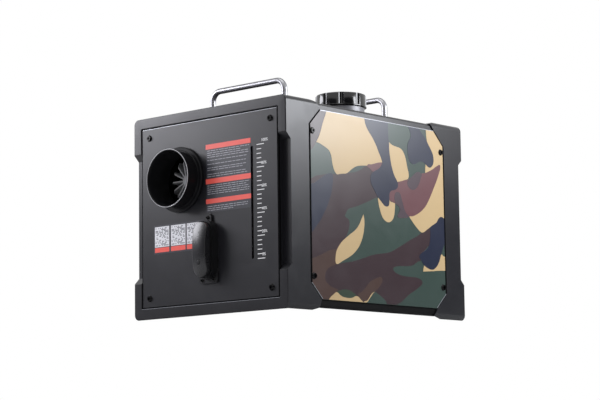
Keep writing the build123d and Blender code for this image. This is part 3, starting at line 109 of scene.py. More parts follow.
def faceOut(piece):
    editAll(piece)
    bpy.ops.mesh.normals_make_consistent(inside=False)
    stopEdit()


def asMesh(piece):  # a curve or text object turned into a mesh
    pickUp(piece)
    bpy.ops.object.convert(target="MESH")
    return bpy.context.view_layer.objects.active


def joinPieces(name, pieces):
    pickUp(*pieces)
    if len(pieces) > 1:
        bpy.ops.object.join()
    whole = bpy.context.view_layer.objects.active
    whole.name = name
    return whole


def settle(piece, body, finish):
    piece.data.materials.clear()
    piece.data.materials.append(finish)
    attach(piece, body)


def layDown(name, sheets, finish):  # flat parts joined as one piece that stays with the case
    settle(joinPieces(name, sheets), "root", finish)


def paint(red, green, blue):  # screen values 0 to 255 as the shader's linear colour
    def linear(value):
        value = value / 255
        return value / 12.92 if value <= 0.04045 else ((value + 0.055) / 1.055) ** 2.4
    return (linear(red), linear(green), linear(blue), 1)


def addMath(tree, operation, second=None):
    node = tree.nodes.new("ShaderNodeMath")
    node.operation = operation
    if second is not None:
        node.inputs[1].default_value = second
    return node


# shared effects
def newGroup(name, inputs, outputs):
    group = bpy.data.node_groups.new(name, "ShaderNodeTree")
    for label, kind, value in inputs:
        socket = group.interface.new_socket(label, in_out="INPUT", socket_type=kind)
        if value is not None:
            socket.default_value = value
    for label, kind in outputs:
        group.interface.new_socket(label, in_out="OUTPUT", socket_type=kind)
    start = group.nodes.new("NodeGroupInput")
    end = group.nodes.new("NodeGroupOutput")
    return group, start, end


def addNoise(tree, settings):
    noise = tree.nodes.new("ShaderNodeTexNoise")
    for label, value in settings.items():
        noise.inputs[label].default_value = value
    return noise


moulding = {
    "grainScale": 900,
    "mottleScale": 14,
    "bumpStrength": 0.35,
    "fine": {"Detail": 2},
    "pitScale": 0.55,  # share of the grain's scale
    "pitDepth": 0.4,  # share of the fine grain's height
    "broad": {"Detail": 4, "Roughness": 0.55},
}
handling = {
    "markScale": 22,
    "smear": 0.08,  # roughness that a full mark adds
    "smudges": {"Detail": 5, "Distortion": 1.2},
    "streaks": {"Detail": 3},
    "stretch": (0.4, 0.4, 5),
    "clean": 0.42,  # smudge values under this leave no mark, and those over worn leave a full one
    "worn": 0.72,
}


def mouldGrain():
    group, start, end = newGroup(
        "mouldGrain",
        [
            ("Vector", "NodeSocketVector", None),
            ("Grain Scale", "NodeSocketFloat", moulding["grainScale"]),
            ("Mottle Scale", "NodeSocketFloat", moulding["mottleScale"]),
        ],
        [("Height", "NodeSocketFloat"), ("Mottle", "NodeSocketFloat")],
    )
    fine = addNoise(group, moulding["fine"])
    pits = group.nodes.new("ShaderNodeTexVoronoi")
    pitScale = addMath(group, "MULTIPLY", moulding["pitScale"])
    height = addMath(group, "MULTIPLY_ADD", moulding["pitDepth"])
    broad = addNoise(group, moulding["broad"])
    link = group.links.new
    for texture in (fine, pits, broad):
        link(start.outputs["Vector"], texture.inputs["Vector"])
    link(start.outputs["Grain Scale"], fine.inputs["Scale"])
    link(start.outputs["Grain Scale"], pitScale.inputs[0])
    link(pitScale.outputs[0], pits.inputs["Scale"])
    link(start.outputs["Mottle Scale"], broad.inputs["Scale"])
    link(pits.outputs["Distance"], height.inputs[0])
    link(fine.outputs[0], height.inputs[2])
    link(height.outputs[0], end.inputs["Height"])
    link(broad.outputs[0], end.inputs["Mottle"])
    return group


def handlingMarks():
    group, start, end = newGroup(
        "handlingMarks",
        [("Vector", "NodeSocketVector", None), ("Mark Scale", "NodeSocketFloat", handling["markScale"])],
        [("Mask", "NodeSocketFloat")],
    )
    smudges = addNoise(group, handling["smudges"])
    streaks = addNoise(group, handling["streaks"])
    stretch = group.nodes.new("ShaderNodeMapping")
    stretch.inputs["Scale"].default_value = handling["stretch"]
    ramp = group.nodes.new("ShaderNodeValToRGB")
    ramp.color_ramp.elements[0].position = handling["clean"]
    ramp.color_ramp.elements[1].position = handling["worn"]
    blend = addMath(group, "MULTIPLY")
    link = group.links.new
    link(start.outputs["Vector"], smudges.inputs["Vector"])
    link(start.outputs["Vector"], stretch.inputs["Vector"])
    link(stretch.outputs[0], streaks.inputs["Vector"])
    link(start.outputs["Mark Scale"], smudges.inputs["Scale"])
    link(start.outputs["Mark Scale"], streaks.inputs["Scale"])
    link(smudges.outputs[0], ramp.inputs[0])
    link(ramp.outputs[0], blend.inputs[0])
    link(streaks.outputs[0], blend.inputs[1])
    link(blend.outputs[0], end.inputs["Mask"])
    return group


grainGroup = mouldGrain()
marksGroup = handlingMarks()


def makeFinish(name, look):
    finish = bpy.data.materials.new(name)
    finish.use_nodes = True
    tree = finish.node_tree
    shader = tree.nodes["Principled BSDF"]
    link = tree.links.new
    place = tree.nodes.new("ShaderNodeTexCoord")
    grain = tree.nodes.new("ShaderNodeGroup")
    grain.node_tree = grainGroup
    grain.inputs["Grain Scale"].default_value = look.get("grainScale", moulding["grainScale"])
    grain.inputs["Mottle Scale"].default_value = moulding["mottleScale"]
    marks = tree.nodes.new("ShaderNodeGroup")
    marks.node_tree = marksGroup
    marks.inputs["Mark Scale"].default_value = handling["markScale"]
    link(place.outputs["Object"], grain.inputs["Vector"])
    link(place.outputs["Object"], marks.inputs["Vector"])
    colours = tree.nodes.new("ShaderNodeMix")  # its sockets 6 and 7 are the two colours
    colours.data_type = "RGBA"
    colours.inputs[6].default_value = paint(*look["colour"])
    colours.inputs[7].default_value = paint(*look["second"])
    link(grain.outputs["Mottle"], colours.inputs[0])
    link(colours.outputs[2], shader.inputs["Base Color"])
    gloss = tree.nodes.new("ShaderNodeMapRange")
    gloss.inputs["To Min"].default_value = look["rough"]
    gloss.inputs["To Max"].default_value = look["rough"] + look.get("smear", handling["smear"])
    link(marks.outputs["Mask"], gloss.inputs["Value"])
    link(gloss.outputs[0], shader.inputs["Roughness"])
    if "grainDepth" in look:
        bump = tree.nodes.new("ShaderNodeBump")
        bump.inputs["Strength"].default_value = moulding["bumpStrength"]
        bump.inputs["Distance"].default_value = look["grainDepth"] * mm
        link(grain.outputs["Height"], bump.inputs["Height"])
        link(bump.outputs[0], shader.inputs["Normal"])
    shader.inputs["Metallic"].default_value = look.get("metal", 0)
    shader.inputs["Specular IOR Level"].default_value = look.get("shine", 0.5)
    if "edgeTint" in look:
        tint = look["edgeTint"]
        shader.inputs["Specular Tint"].default_value = (tint, tint, tint, 1)
    shader.inputs["Transmission Weight"].default_value = look.get("clear", 0)
    shader.inputs["IOR"].default_value = look.get("ior", 1.5)
    return finish


# finishes of the record's material slots, and two of single pieces
looks = {
    "frame_plastic": dict(
        colour=(20, 20, 24), second=(26, 26, 31), rough=0.34, shine=0.42, grainScale=1500, grainDepth=0.03),
    "cover_plastic": dict(
        colour=(18, 18, 22), second=(24, 24, 29), rough=0.34, shine=0.42, grainScale=1500, grainDepth=0.03),
    "collar_grey": dict(
        colour=(122, 122, 126), second=(114, 114, 118), rough=0.4, metal=0.35,
        grainScale=1700, grainDepth=0.004),
    # near black, darker than the covers: painted shade under the proud side panels
    "tray_black": dict(
        colour=(5, 5, 6), second=(8, 8, 9), rough=0.5, shine=0.12, grainScale=1500, grainDepth=0.03),
    "panel_paint": dict(
        colour=(20, 20, 24), second=(26, 26, 31), rough=0.34, shine=0.45, grainScale=2600, grainDepth=0.012),
    "side_print": dict(
        colour=(48, 63, 58), second=(53, 69, 63), rough=0.3, shine=0.48, grainScale=2600, grainDepth=0.008),
    "screw_black": dict(
        colour=(5, 5, 6), second=(8, 8, 9), rough=0.2, smear=0.04, shine=0.2),
    "handle_steel": dict(
        colour=(160, 160, 164), second=(150, 150, 154), rough=0.3, smear=0.05, metal=0.9, edgeTint=0.05,
        grainScale=700, grainDepth=0.003),
    "plain_steel": dict(
        colour=(150, 150, 152), second=(118, 118, 121), rough=0.34, metal=1, grainScale=800, grainDepth=0.01),
    "duct_plastic": dict(
        colour=(19, 19, 21), second=(23, 23, 25), rough=0.3, shine=0.1, grainScale=1400, grainDepth=0.01),
    "cast_alloy": dict(
        colour=(206, 206, 209), second=(184, 184, 188), rough=0.5, metal=0.35,
        grainScale=1000, grainDepth=0.06),
    "armature_iron": dict(
        colour=(86, 84, 84), second=(70, 66, 64), rough=0.45, metal=0.9, grainScale=600, grainDepth=0.02),
    "tank_plastic": dict(
        colour=(214, 212, 202), second=(200, 197, 184), rough=0.4, shine=0.4,
        grainScale=900, grainDepth=0.03),
    "cap_plastic": dict(
        colour=(8, 8, 9), second=(11, 11, 12), rough=0.12, smear=0.05, shine=0.6,
        grainScale=1700, grainDepth=0.004),
    "clear_tube": dict(
        colour=(235, 238, 238), second=(228, 232, 232), rough=0.08, clear=0.9, ior=1.45),
    "line_rubber": dict(
        colour=(24, 24, 25), second=(32, 32, 33), rough=0.55, shine=0.3, grainScale=1100, grainDepth=0.02),
    "fitting_brass": dict(
        colour=(196, 162, 92), second=(176, 140, 76), rough=0.26, metal=1, grainScale=900, grainDepth=0.006),
    "controller_plastic": dict(
        colour=(16, 16, 18), second=(22, 22, 24), rough=0.3, shine=0.45, grainScale=2000, grainDepth=0.012),
    "controller_gloss": dict(
        colour=(22, 22, 25), second=(27, 27, 30), rough=0.27, smear=0.05, shine=0.5,
        grainScale=2200, grainDepth=0.004),
    "board_green": dict(
        colour=(28, 84, 52), second=(36, 98, 60), rough=0.35, shine=0.5, grainScale=1200, grainDepth=0.01),
}
finishes = {name: makeFinish(name, look) for name, look in looks.items()}
print("stage: finishes", len(finishes))

nodeSlots = {
    "frame_plastic": "front_frame rear_frame",
    "cover_plastic": "top_cover base_tray",
    "panel_paint": "front_panel rear_panel",
    "side_print": "side_panel_right side_panel_left",
    "screw_black": "front_panel_screws rear_panel_screws side_panel_screws handset_holder_screws",
    "handle_steel": "handle_front handle_rear",
    "plain_steel": "handle_nuts heater_stand tank_shelf exhaust_pipe exhaust_muffler exhaust_tail"
    " exhaust_flange motor_shaft motor_bearings glow_plug combustion_chamber fuel_inlet_pipe fuel_pump"
    " pump_piston",
    "duct_plastic": "outlet_duct outlet_hood heater_casing_lower heater_casing_upper inlet_grille hot_air_fan"
    " combustion_blower_wheel cable_gland intake_pipe",
    "cast_alloy": "heat_exchanger blower_housing fan_motor",
    "armature_iron": "motor_armature",
    "tank_plastic": "fuel_tank filler_neck fuel_filter",
    "cap_plastic": "filler_cap neck_collar",
    "clear_tube": "sight_tube",
    "line_rubber": "fuel_line_tank fuel_line_filter fuel_line_heater cap_gasket mounting_gasket pump_clamp",
    "fitting_brass": "tank_outlet",
    "controller_plastic": "handset_holder handset_back handset_button",
    "controller_gloss": "handset_face",
    "board_green": "handset_board control_unit",
}
ownLooks = {"base_tray": "tray_black", "neck_collar": "collar_grey"}  # nodes whose finish isn't their slot's
slotOf, finishOf = {}, {}
for slotName, names in nodeSlots.items():
    for nodeName in names.split():
        slotOf[nodeName] = slotName
        finishOf[nodeName] = finishes[ownLooks.get(nodeName, slotName)]
        cadNodes[nodeName].data.materials.clear()
        cadNodes[nodeName].data.materials.append(finishOf[nodeName])


# smooth copies of the curved pieces, inside and out
smoothing = {
    "angle": 31,  # degrees past which an edge stays sharp
    "weld": 0.000002,
    "nodes": "front_frame rear_frame top_cover base_tray handle_front handle_rear filler_cap neck_collar"
    " outlet_duct outlet_hood heat_exchanger handset_holder handset_back handset_face handset_button"
    " handset_holder_screws front_panel_screws rear_panel_screws side_panel_screws exhaust_pipe exhaust_tail"
    " exhaust_flange exhaust_muffler intake_pipe cable_gland inlet_grille handle_nuts heater_casing_lower"
    " heater_casing_upper fuel_tank filler_neck sight_tube cap_gasket hot_air_fan fuel_pump pump_piston"
    " fuel_filter",
}


def smoothCopy(nodeName):
    source = cadNodes[nodeName]
    dropSelection()
    copy = source.copy()
    copy.data = source.data.copy()
    copy.name = nodeName + "_smooth"
    copy.parent = None
    copy.matrix_world = Matrix.Identity(4)
    scene.collection.objects.link(copy)
    pickUp(copy)
    bpy.ops.mesh.customdata_custom_splitnormals_clear()
    editAll(copy)
    bpy.ops.mesh.remove_doubles(threshold=smoothing["weld"])
    stopEdit()
    bpy.ops.object.shade_smooth_by_angle(angle=math.radians(smoothing["angle"]))
    settle(copy, body_of(source)[0], finishOf[nodeName])
    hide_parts(nodeName)
    return copy


smoothPieces = {nodeName: smoothCopy(nodeName) for nodeName in smoothing["nodes"].split()}
print("stage: smooth copies", len(smoothPieces))


# the side panels' printed camouflage: y from the case's front face and z, in mm; a third value marks a corner
sidePrint = {
    "step": 0.04,  # height of one printed layer
    "slide": (-2.24, -0.233, -0.00118),  # along y; along z, and again by this share of z
    "corners": [
        (46.3, 36.1), (67.3, 15.2), (309.8, 15.2), (330.8, 36.1),
        (330.8, 245.7), (309.8, 266.6), (67.3, 266.6), (46.3, 245.7),
    ],
    "smoothness": 5,
    "colours": {
        "brown": ((55, 41, 45), (51, 38, 42)),
        "warmBrown": ((72, 54, 48), (67, 50, 45)),
        "leafGreen": ((50, 66, 53), (46, 61, 49)),
        "tan": ((184, 160, 120), (177, 153, 114)),
        "maroon": ((98, 64, 68), (92, 60, 64)),
        "navy": ((30, 36, 56), (27, 33, 51)),
        "plum": ((72, 60, 67), (67, 56, 62)),
    },
}
camouflage = {
    "brown": [
        [(45.3, 209, 1), (51, 211.5), (56, 216), (61.5, 223, 1), (66, 230), (70, 238), (74, 248),
         (78, 257), (82.5, 268, 1), (66, 270, 1), (44, 246, 1)],
        [(93, 184), (102, 184), (108, 185), (114, 186), (121, 187), (130, 189), (138, 190.5), (146, 193),
         (154, 197), (160, 200.5), (167, 202.5), (175, 205), (182, 207), (190, 209), (197, 210, 1),
         (200, 190, 1), (190, 165, 1), (186, 161), (180, 159), (172, 155.5), (163, 152), (152, 148),
         (142, 144.5), (133, 142), (125, 139.5), (121, 136), (118.5, 132), (116.5, 129.5, 1), (119, 127.5),
         (123, 126), (126, 122), (126, 117), (124, 111), (121, 105), (117, 99.5), (113, 96.5, 1),
         (100, 80, 1), (84, 79, 1), (72, 75), (60, 71), (43, 65, 1), (43, 170, 1), (60, 178, 1)],
        [(99, 63), (106, 64.5), (115, 66.5), (125, 68), (135, 70), (145, 72.5), (155, 75.5), (165, 78.5),
         (175, 81), (186, 83), (200, 85), (210, 87), (220, 91), (230, 95.5), (240, 100), (250, 105),
         (260, 109.5), (270, 113.5), (281, 119.5), (290, 123), (297, 127), (303, 127, 1), (303, 108, 1),
         (285, 93.5, 1), (275, 87), (274.5, 84), (277, 80), (272, 78.5), (266, 75.5), (260, 72.5),
         (250, 70.5), (240, 69.8), (230, 69.2), (222, 68), (217.5, 66), (216.5, 63.5), (219, 61),
         (225, 58.5), (232, 57), (240, 56), (250, 55.8), (260, 55.8), (270, 55.3), (276, 53.5), (280, 50),
         (279, 47), (274, 43.5), (267, 39.5), (258, 35), (250, 31), (240, 24.5), (232, 19.5), (225, 16.5),
         (220, 14, 1), (201, 14, 1), (201, 17), (196, 22), (190, 25), (184, 28), (176, 30.6), (170, 27),
         (160, 17), (155, 12, 1), (60, 12, 1), (43, 36, 1), (43, 66, 1), (80, 62, 1)],
    ],
    "warmBrown": [
        [(43, 65, 1), (60, 71), (72, 75.5), (84, 80.5), (99, 83.5, 1), (96.5, 66), (99, 63, 1), (90, 60.5),
         (82, 57), (77, 52), (75, 45.5), (76, 40), (81, 36), (90, 32), (100, 30, 1), (99, 27), (97, 26),
         (86, 19.5), (82, 13, 1), (64, 13, 1), (43, 36, 1)],
        [(141, 24), (148, 19.5), (155, 17), (160, 17.8), (165, 22), (170, 27), (177, 31.5), (185, 37),
         (190, 42), (193, 48), (191, 51.5), (182, 50), (172, 46.5), (163, 41), (156, 34.5), (149, 29.5)],
    ],
    "leafGreen": [
        [(99, 26.5), (104, 28.5), (111, 30.3), (119, 30.6), (127, 29), (133, 26.5), (139, 23, 1),
         (130, 20), (116, 19), (104, 22.5)],
    ],
    "tan": [
        [(82.5, 268, 1), (160, 268, 1), (163, 258), (168, 251), (176, 243), (184, 233), (190, 223),
         (195, 215), (197, 210, 1), (190, 209), (182, 207), (175, 205), (167, 202.5), (158, 201.5),
         (150, 200.5), (143, 199), (137, 196.5), (131, 193), (126, 189.5), (121, 187), (114, 186),
         (108, 185), (102, 184), (99, 186), (96, 190), (94, 195), (92.5, 200), (91.5, 206), (89.5, 211),
         (86, 215), (81, 217.5), (74, 220), (68, 222), (61.5, 223, 1), (66, 230), (70, 238), (74, 248),
         (78, 257), (81, 263)],
        [(212.5, 240, 1), (217, 237.5), (222, 236), (229, 235), (236, 234), (241, 231.5), (245, 227),
         (248, 221), (250, 214), (252, 207), (254, 201), (254, 195), (252, 192, 1), (245, 190), (238, 188),
         (229, 186, 1), (226, 189), (222, 195), (219, 202), (216, 211), (214, 220), (213, 228),
         (212.5, 235)],
        [(187, 161), (187.5, 153), (190, 145), (193, 138), (197, 132.5), (203, 129), (208, 128),
         (213, 129.5), (217.5, 133), (220.5, 138), (222, 145), (223, 152), (223, 155.5, 1), (218, 156.5),
         (212, 158), (211, 160), (205, 165), (195, 165)],
        [(295, 268, 1), (316, 268, 1), (336, 246, 1), (336, 140, 1), (330, 144.5), (324, 145), (319, 142),
         (315, 137), (310, 134), (303, 130.5), (297, 127), (290, 123), (284, 120), (281, 119.5, 1),
         (276, 121.5), (270, 125.5), (263, 131), (257, 136.5), (253.5, 140, 1), (250, 150), (270, 190),
         (291.5, 205, 1), (292, 213), (296, 230), (297, 250), (295.5, 258)],
        [(282, 65, 1), (283, 69), (284.5, 73), (300, 90, 1), (323, 91), (325, 92, 1), (329, 89.5),
         (336, 89, 1), (336, 69.5, 1), (320, 68.5), (300, 66.5)],
        [(155.3, 134.5, 1), (151, 128), (147, 121.5), (142, 115.5), (135, 110), (128, 106), (120, 101),
         (113, 96.5), (107, 91.5), (102, 86), (98, 79.5), (96.5, 73), (96.5, 66), (98, 64), (100, 63.5),
         (106, 66), (112, 69), (120, 72.5), (128, 76.5), (135, 81), (141, 86), (147, 93), (151, 100),
         (154, 107), (156, 115), (157, 123), (156.5, 130)],
        [(80, 13, 1), (86, 19.5), (91, 22.5), (97, 26), (100, 25.5), (104, 23), (109, 20.8), (116, 19.8),
         (123, 19.5), (130, 20.5), (135, 22.5), (139, 23), (143, 21.5), (147, 18.5), (151, 16),
         (152, 13, 1)],
        [(152, 15), (160, 16.2), (164, 20), (169, 25), (173, 29), (176, 30.6, 1), (173, 30), (168, 26.5),
         (163, 21), (159.5, 18), (155, 17)],
    ],
    "maroon": [
        [(165, 201.8), (175, 205), (182, 207), (190, 209), (197, 210, 1), (194, 204.5), (190, 201),
         (184, 198), (178, 195), (170, 199)],
        [(325, 219.5), (320, 218), (314, 215), (308, 211.5), (300, 208), (292, 205), (285, 203.5),
         (278, 200.5), (270, 198), (262, 195), (254, 192), (245, 190), (238, 188), (230, 186, 1),
         (225, 180), (215, 172, 1), (209, 168, 1), (210, 161), (214, 158), (222, 156), (226, 154.5),
         (231, 152), (233.5, 148), (232, 144), (229.5, 140), (228, 137.5, 1), (234, 136.5), (242, 137),
         (250, 138), (254, 140), (262, 141), (270, 144), (278, 148), (286, 153.5), (293, 160), (299, 168),
         (304, 175.5), (310, 185), (315, 193), (319.5, 201), (323, 208), (326, 216)],
    ],
    "navy": [
        [(160, 268, 1), (211, 268, 1), (211, 255), (211.5, 245), (212.5, 240), (212.5, 230), (214, 220),
         (216, 211), (219, 202), (223, 194), (229, 186), (230.5, 181), (228, 177), (222, 174), (215, 172),
         (211.5, 168), (211, 161), (210.5, 154), (209, 151), (205.5, 149.5), (200, 150.5), (195, 154),
         (190, 158), (186, 161), (182, 166), (178, 171), (174, 176), (171.5, 182), (171.5, 188),
         (174, 192), (178, 195), (184, 198), (190, 201), (194, 204.5), (197, 210), (195, 215), (190, 223),
         (184, 233), (176, 243), (168, 251), (163, 258)],
        [(254, 268, 1), (258, 262), (260.5, 256), (260, 252), (257, 248), (254, 243), (252.5, 238),
         (252.5, 232), (254, 225), (256, 219), (259, 216), (264, 214.5), (270, 215.5), (276, 218.5),
         (282, 220), (288, 219.5), (293, 217), (298, 214), (303, 213.5), (307, 216), (310, 220),
         (311, 226), (309.5, 233), (305, 240), (300, 246), (295, 252), (290, 257), (284, 262),
         (278, 268, 1)],
        [(336, 143, 1), (330, 144), (324, 145), (319, 142), (315, 137), (310, 134), (303, 130.5),
         (300, 127), (300, 118), (299, 110), (296, 102), (291, 97), (285, 93.5), (279, 90.5), (275, 87),
         (274.5, 84), (277, 81.5), (281, 77), (286, 73), (292, 70.5), (298, 69), (304, 69), (309, 71),
         (314, 75), (318, 80), (321, 86), (323, 91), (326, 97), (330, 104), (336, 112, 1)],
        [(43, 164, 1), (50, 166.5), (56, 168), (62, 171.5), (70, 176), (77, 180), (83, 183), (88, 184),
         (92, 184), (93.5, 175), (92, 167), (90, 158), (86, 149), (81, 139), (75, 130), (68, 120),
         (60, 112), (52, 104), (43, 96, 1)],
    ],
    "plum": [
        [(256, 193), (283, 202.5), (281, 196), (277, 188), (272, 182), (266, 178.5), (260, 178),
         (255, 180), (251, 184), (251, 188)],
        [(224, 170), (229, 172), (234, 170.5), (237, 165), (240, 157), (243, 150), (247, 144),
         (252, 139.5), (245, 137.5), (234, 137), (228, 137.5), (231, 143), (233.5, 148), (231, 152),
         (226, 154.5), (223, 157), (222, 163)],
    ],
}
outwards = {  # the flat shapes' own x, y and z, turned to face out of each side
    "right": Matrix(((0, 0, 1, 0), (1, 0, 0, 0), (0, 1, 0, 0), (0, 0, 0, 1))),
    "left": Matrix(((0, 0, -1, 0), (1, 0, 0, 0), (0, 1, 0, 0), (0, 0, 0, 1))),
}
signs = {"right": 1, "left": -1}


def addPatch(outline, height, side):
    slideY, slideZ, slideShare = sidePrint["slide"]
    curve = bpy.data.curves.new("patch", "CURVE")
    curve.dimensions = "2D"
    curve.fill_mode = "BOTH"
    curve.resolution_u = sidePrint["smoothness"]
    curve.extrude = height / 2 * mm
    spline = curve.splines.new("BEZIER")
    spline.bezier_points.add(len(outline) - 1)
    spline.use_cyclic_u = True
    for knot, (y, z, *corner) in zip(spline.bezier_points, outline):
        knot.co = ((y + frontY + slideY) * mm, (z + slideZ + slideShare * z) * mm, 0)
        knot.handle_left_type = knot.handle_right_type = "VECTOR" if corner else "AUTO"
    patch = bpy.data.objects.new("patch", curve)
    scene.collection.objects.link(patch)
    patch = asMesh(patch)
    shift = Matrix.Translation(((sideFace + height / 2) * mm * signs[side], 0, 0))
    patch.matrix_world = shift @ outwards[side]
    freezePlace(patch)
    return patch


def trimToPanel(piece):
    corners = sidePrint["corners"]
    for (y0, z0), (y1, z1) in zip(corners, corners[1:] + corners[:1]):
        corner = (0, (y0 + frontY) * mm, z0 * mm)
        outward = Vector((0, z1 - z0, -(y1 - y0))).normalized()
        editAll(piece)
        bpy.ops.mesh.bisect(plane_co=corner, plane_no=outward, use_fill=True, clear_outer=True)
        stopEdit()


for layer, (colourName, outlines) in enumerate(camouflage.items(), 1):
    first, second = sidePrint["colours"][colourName]
    ink = makeFinish(colourName + "Print", dict(looks["side_print"], colour=first, second=second))
    for side in ("right", "left"):
        patches = [addPatch(outline, layer * sidePrint["step"], side) for outline in outlines]
        printed = joinPieces(f"print_{side}_{colourName}", patches)
        trimToPanel(printed)
        faceOut(printed)
        settle(printed, "root", ink)
print("stage: side prints")


# plain blocks, scale and numerals on the front panel
inkGrain = dict(grainScale=2400, grainDepth=0.004)
inkLooks = {
    "labelGrey": dict(colour=(50, 51, 58), second=(55, 56, 63), rough=0.34, shine=0.42),
    "ruleGrey": dict(colour=(176, 176, 184), second=(166, 166, 174), rough=0.4, shine=0.3),
    "barRed": dict(colour=(236, 92, 82), second=(242, 98, 88), rough=0.34, shine=0.4),
    "scaleWhite": dict(colour=(254, 254, 255), second=(250, 250, 252), rough=0.45, shine=0.3),
    "plateWhite": dict(colour=(228, 228, 233), second=(220, 220, 226), rough=0.36, shine=0.4),
    "plateGrey": dict(colour=(118, 120, 126), second=(108, 110, 116), rough=0.4, shine=0.35),
}
inks = {name: makeFinish(name, dict(look, **inkGrain)) for name, look in inkLooks.items()}


# a thin flat part; box: left, right, foot, top; face: the y that its back lies on
def addSheet(box, face, thick, corner=0.0, cornerSegments=4):
    x0, x1, z0, z1 = box
    dropSelection()
    middle = ((x0 + x1) / 2 * mm, face * mm, (z0 + z1) / 2 * mm)
    bpy.ops.mesh.primitive_plane_add(size=1, location=middle, rotation=(math.pi / 2, 0, 0))
    sheet = bpy.context.view_layer.objects.active
    sheet.scale = ((x1 - x0) * mm, (z1 - z0) * mm, 1)
    freezePlace(sheet)
    editAll(sheet)
    if corner:
        bpy.ops.mesh.bevel(offset=corner * mm, segments=cornerSegments, affect="VERTICES")
    bpy.ops.mesh.extrude_region_move(TRANSFORM_OT_translate={"value": (0, -thick * mm, 0)})
    bpy.ops.mesh.select_all(action="SELECT")
    bpy.ops.mesh.normals_make_consistent(inside=False)
    stopEdit()
    return sheet


label = {
    "block": (-3.5, 78.5, 137.2, 229.4),
    "blockThick": 0.12,
    "blockCorner": 0.6,
    "bars": [(222.8, 229.4), (175.7, 182.6), (149.0, 155.4)],  # foot and top
    "barReach": (-4.5, 78.6),
    "barThick": 0.2,
    "barCorner": 0.4,
    "rows": [  # middle height, right end
        (220.6, 76), (217.7, 60), (214.8, 74), (211.9, 76), (207.6, 72), (202.3, 70),
        (197.2, 70), (194.3, 64), (188.6, 69), (185.6, 72), (173.2, 76), (170.4, 70),
        (167.6, 74), (164.8, 76), (162.0, 75), (145.2, 73), (142.4, 72), (139.9, 46),
    ],
    "rowStart": -1.5,
    "rowHeight": 0.75,
    "rowRise": 0.1,  # a row's back, in front of the panel
    "rowThick": 0.08,
    "dashes": [5.5, 8, 4, 9.5, 6.5, 3.5, 7.5],  # lengths along a row, taken in turn
    "dashGap": 1.3,
    "dashShift": 3,  # each row starts this many lengths later in the list
}


def makeLabel():
    block = addSheet(label["block"], panelFace, label["blockThick"], label["blockCorner"])
    layDown("label_block", [block], inks["labelGrey"])
    left, right = label["barReach"]
    bars = [
        addSheet((left, right, foot, top), panelFace, label["barThick"], label["barCorner"])
        for foot, top in label["bars"]
    ]
    layDown("label_bars", bars, inks["barRed"])
    rules = []
    dashes, half = label["dashes"], label["rowHeight"] / 2
    for index, (z, reach) in enumerate(label["rows"]):
        x, count = label["rowStart"], index * label["dashShift"]
        while x < reach:
            length = dashes[count % len(dashes)]
            box = (x, min(x + length, reach), z - half, z + half)
            rules.append(addSheet(box, panelFace - label["rowRise"], label["rowThick"]))
            x += length + label["dashGap"]
            count += 1
    layDown("label_rules", rules, inks["ruleGrey"])


plates = {
    "starts": [-103.6, -72.2, -41.6],  # left edges
    "side": 28.0,
    "foot": 98.4,
    "thick": 0.14,
    "corner": 0.5,
    "bar": (91.2, 97.6),
    "barCorner": 0.4,
    "frame": 1.3,
    "cells": 14,
    "cellShare": 0.8,  # of the pitch
    "cellRise": 0.12,
    "cellThick": 0.06,
    "backing": (-105.6, -11.5, 89.0, 128.6),
    "backingThick": 0.06,
    "backingCorner": 0.6,
}


def isGrey(column, row):  # which cells of the plain mosaic are grey
    return (column * column * 3 + row * row * 5 + column * row * 7 + row) % 11 < 5


def makePlates():
    whites, greys, reds = [], [], []
    foot, side = plates["foot"], plates["side"]
    low, high = plates["bar"]
    pitch = (side - 2 * plates["frame"]) / plates["cells"]
    half = pitch * plates["cellShare"] / 2
    for start in plates["starts"]:
        box = (start, start + side, foot, foot + side)
        whites.append(addSheet(box, panelFace, plates["thick"], plates["corner"]))
        for column in range(plates["cells"]):
            for row in range(plates["cells"]):
                if isGrey(column, row):
                    x = start + plates["frame"] + pitch * (column + 0.5)
                    z = foot + plates["frame"] + pitch * (row + 0.5)
                    cell = (x - half, x + half, z - half, z + half)
                    greys.append(addSheet(cell, panelFace - plates["cellRise"], plates["cellThick"]))
        bar = (start, start + side, low, high)
        reds.append(addSheet(bar, panelFace, plates["thick"], plates["barCorner"]))
    backing = addSheet(plates["backing"], panelFace, plates["backingThick"], plates["backingCorner"])
    layDown("plate_backing", [backing], inks["labelGrey"])
    layDown("square_plates", whites, inks["plateWhite"])
    layDown("square_checks", greys, inks["plateGrey"])
    layDown("square_bars", reds, inks["barRed"])


scale = {
    "left": 89.5,
    "short": 97.6,  # right ends of the ticks
    "long": 102.6,
    "top": 219.0,
    "pitch": 6.03,
    "count": 26,
    "longEvery": 5,
    "width": 0.9,
    "thick": 0.1,
    "numerals": ["100%", "80%", "60%", "40%", "20%", "0%"],
    "numeralLeft": 97.6,
    "numeralRise": 3.4,  # above its tick
    "numeralSize": 5.6,
    "numeralThick": 0.1,
    "numeralBolder": 0.01,
    "numeralFineness": 3,
}


def makeTicks():
    ticks = []
    half = scale["width"] / 2
    for index in range(scale["count"]):
        z = scale["top"] - scale["pitch"] * index
        reach = scale["short"] if index % scale["longEvery"] else scale["long"]
        ticks.append(addSheet((scale["left"], reach, z - half, z + half), panelFace, scale["thick"]))
    layDown("scale_ticks", ticks, inks["scaleWhite"])


def addNumeral(words, x, z):
    half = scale["numeralThick"] / 2
    dropSelection()
    bpy.ops.object.text_add(location=(0, 0, 0))
    letters = bpy.context.view_layer.objects.active
    letters.data.body = words
    letters.data.size = scale["numeralSize"] * mm
    letters.data.extrude = half * mm
    letters.data.offset = scale["numeralBolder"] * mm
    letters.data.resolution_u = scale["numeralFineness"]
    letters = asMesh(letters)
    shift = Matrix.Translation((x * mm, (panelFace - half) * mm, z * mm))
    letters.matrix_world = shift @ Matrix.Rotation(math.pi / 2, 4, "X")
    freezePlace(letters)
    return letters


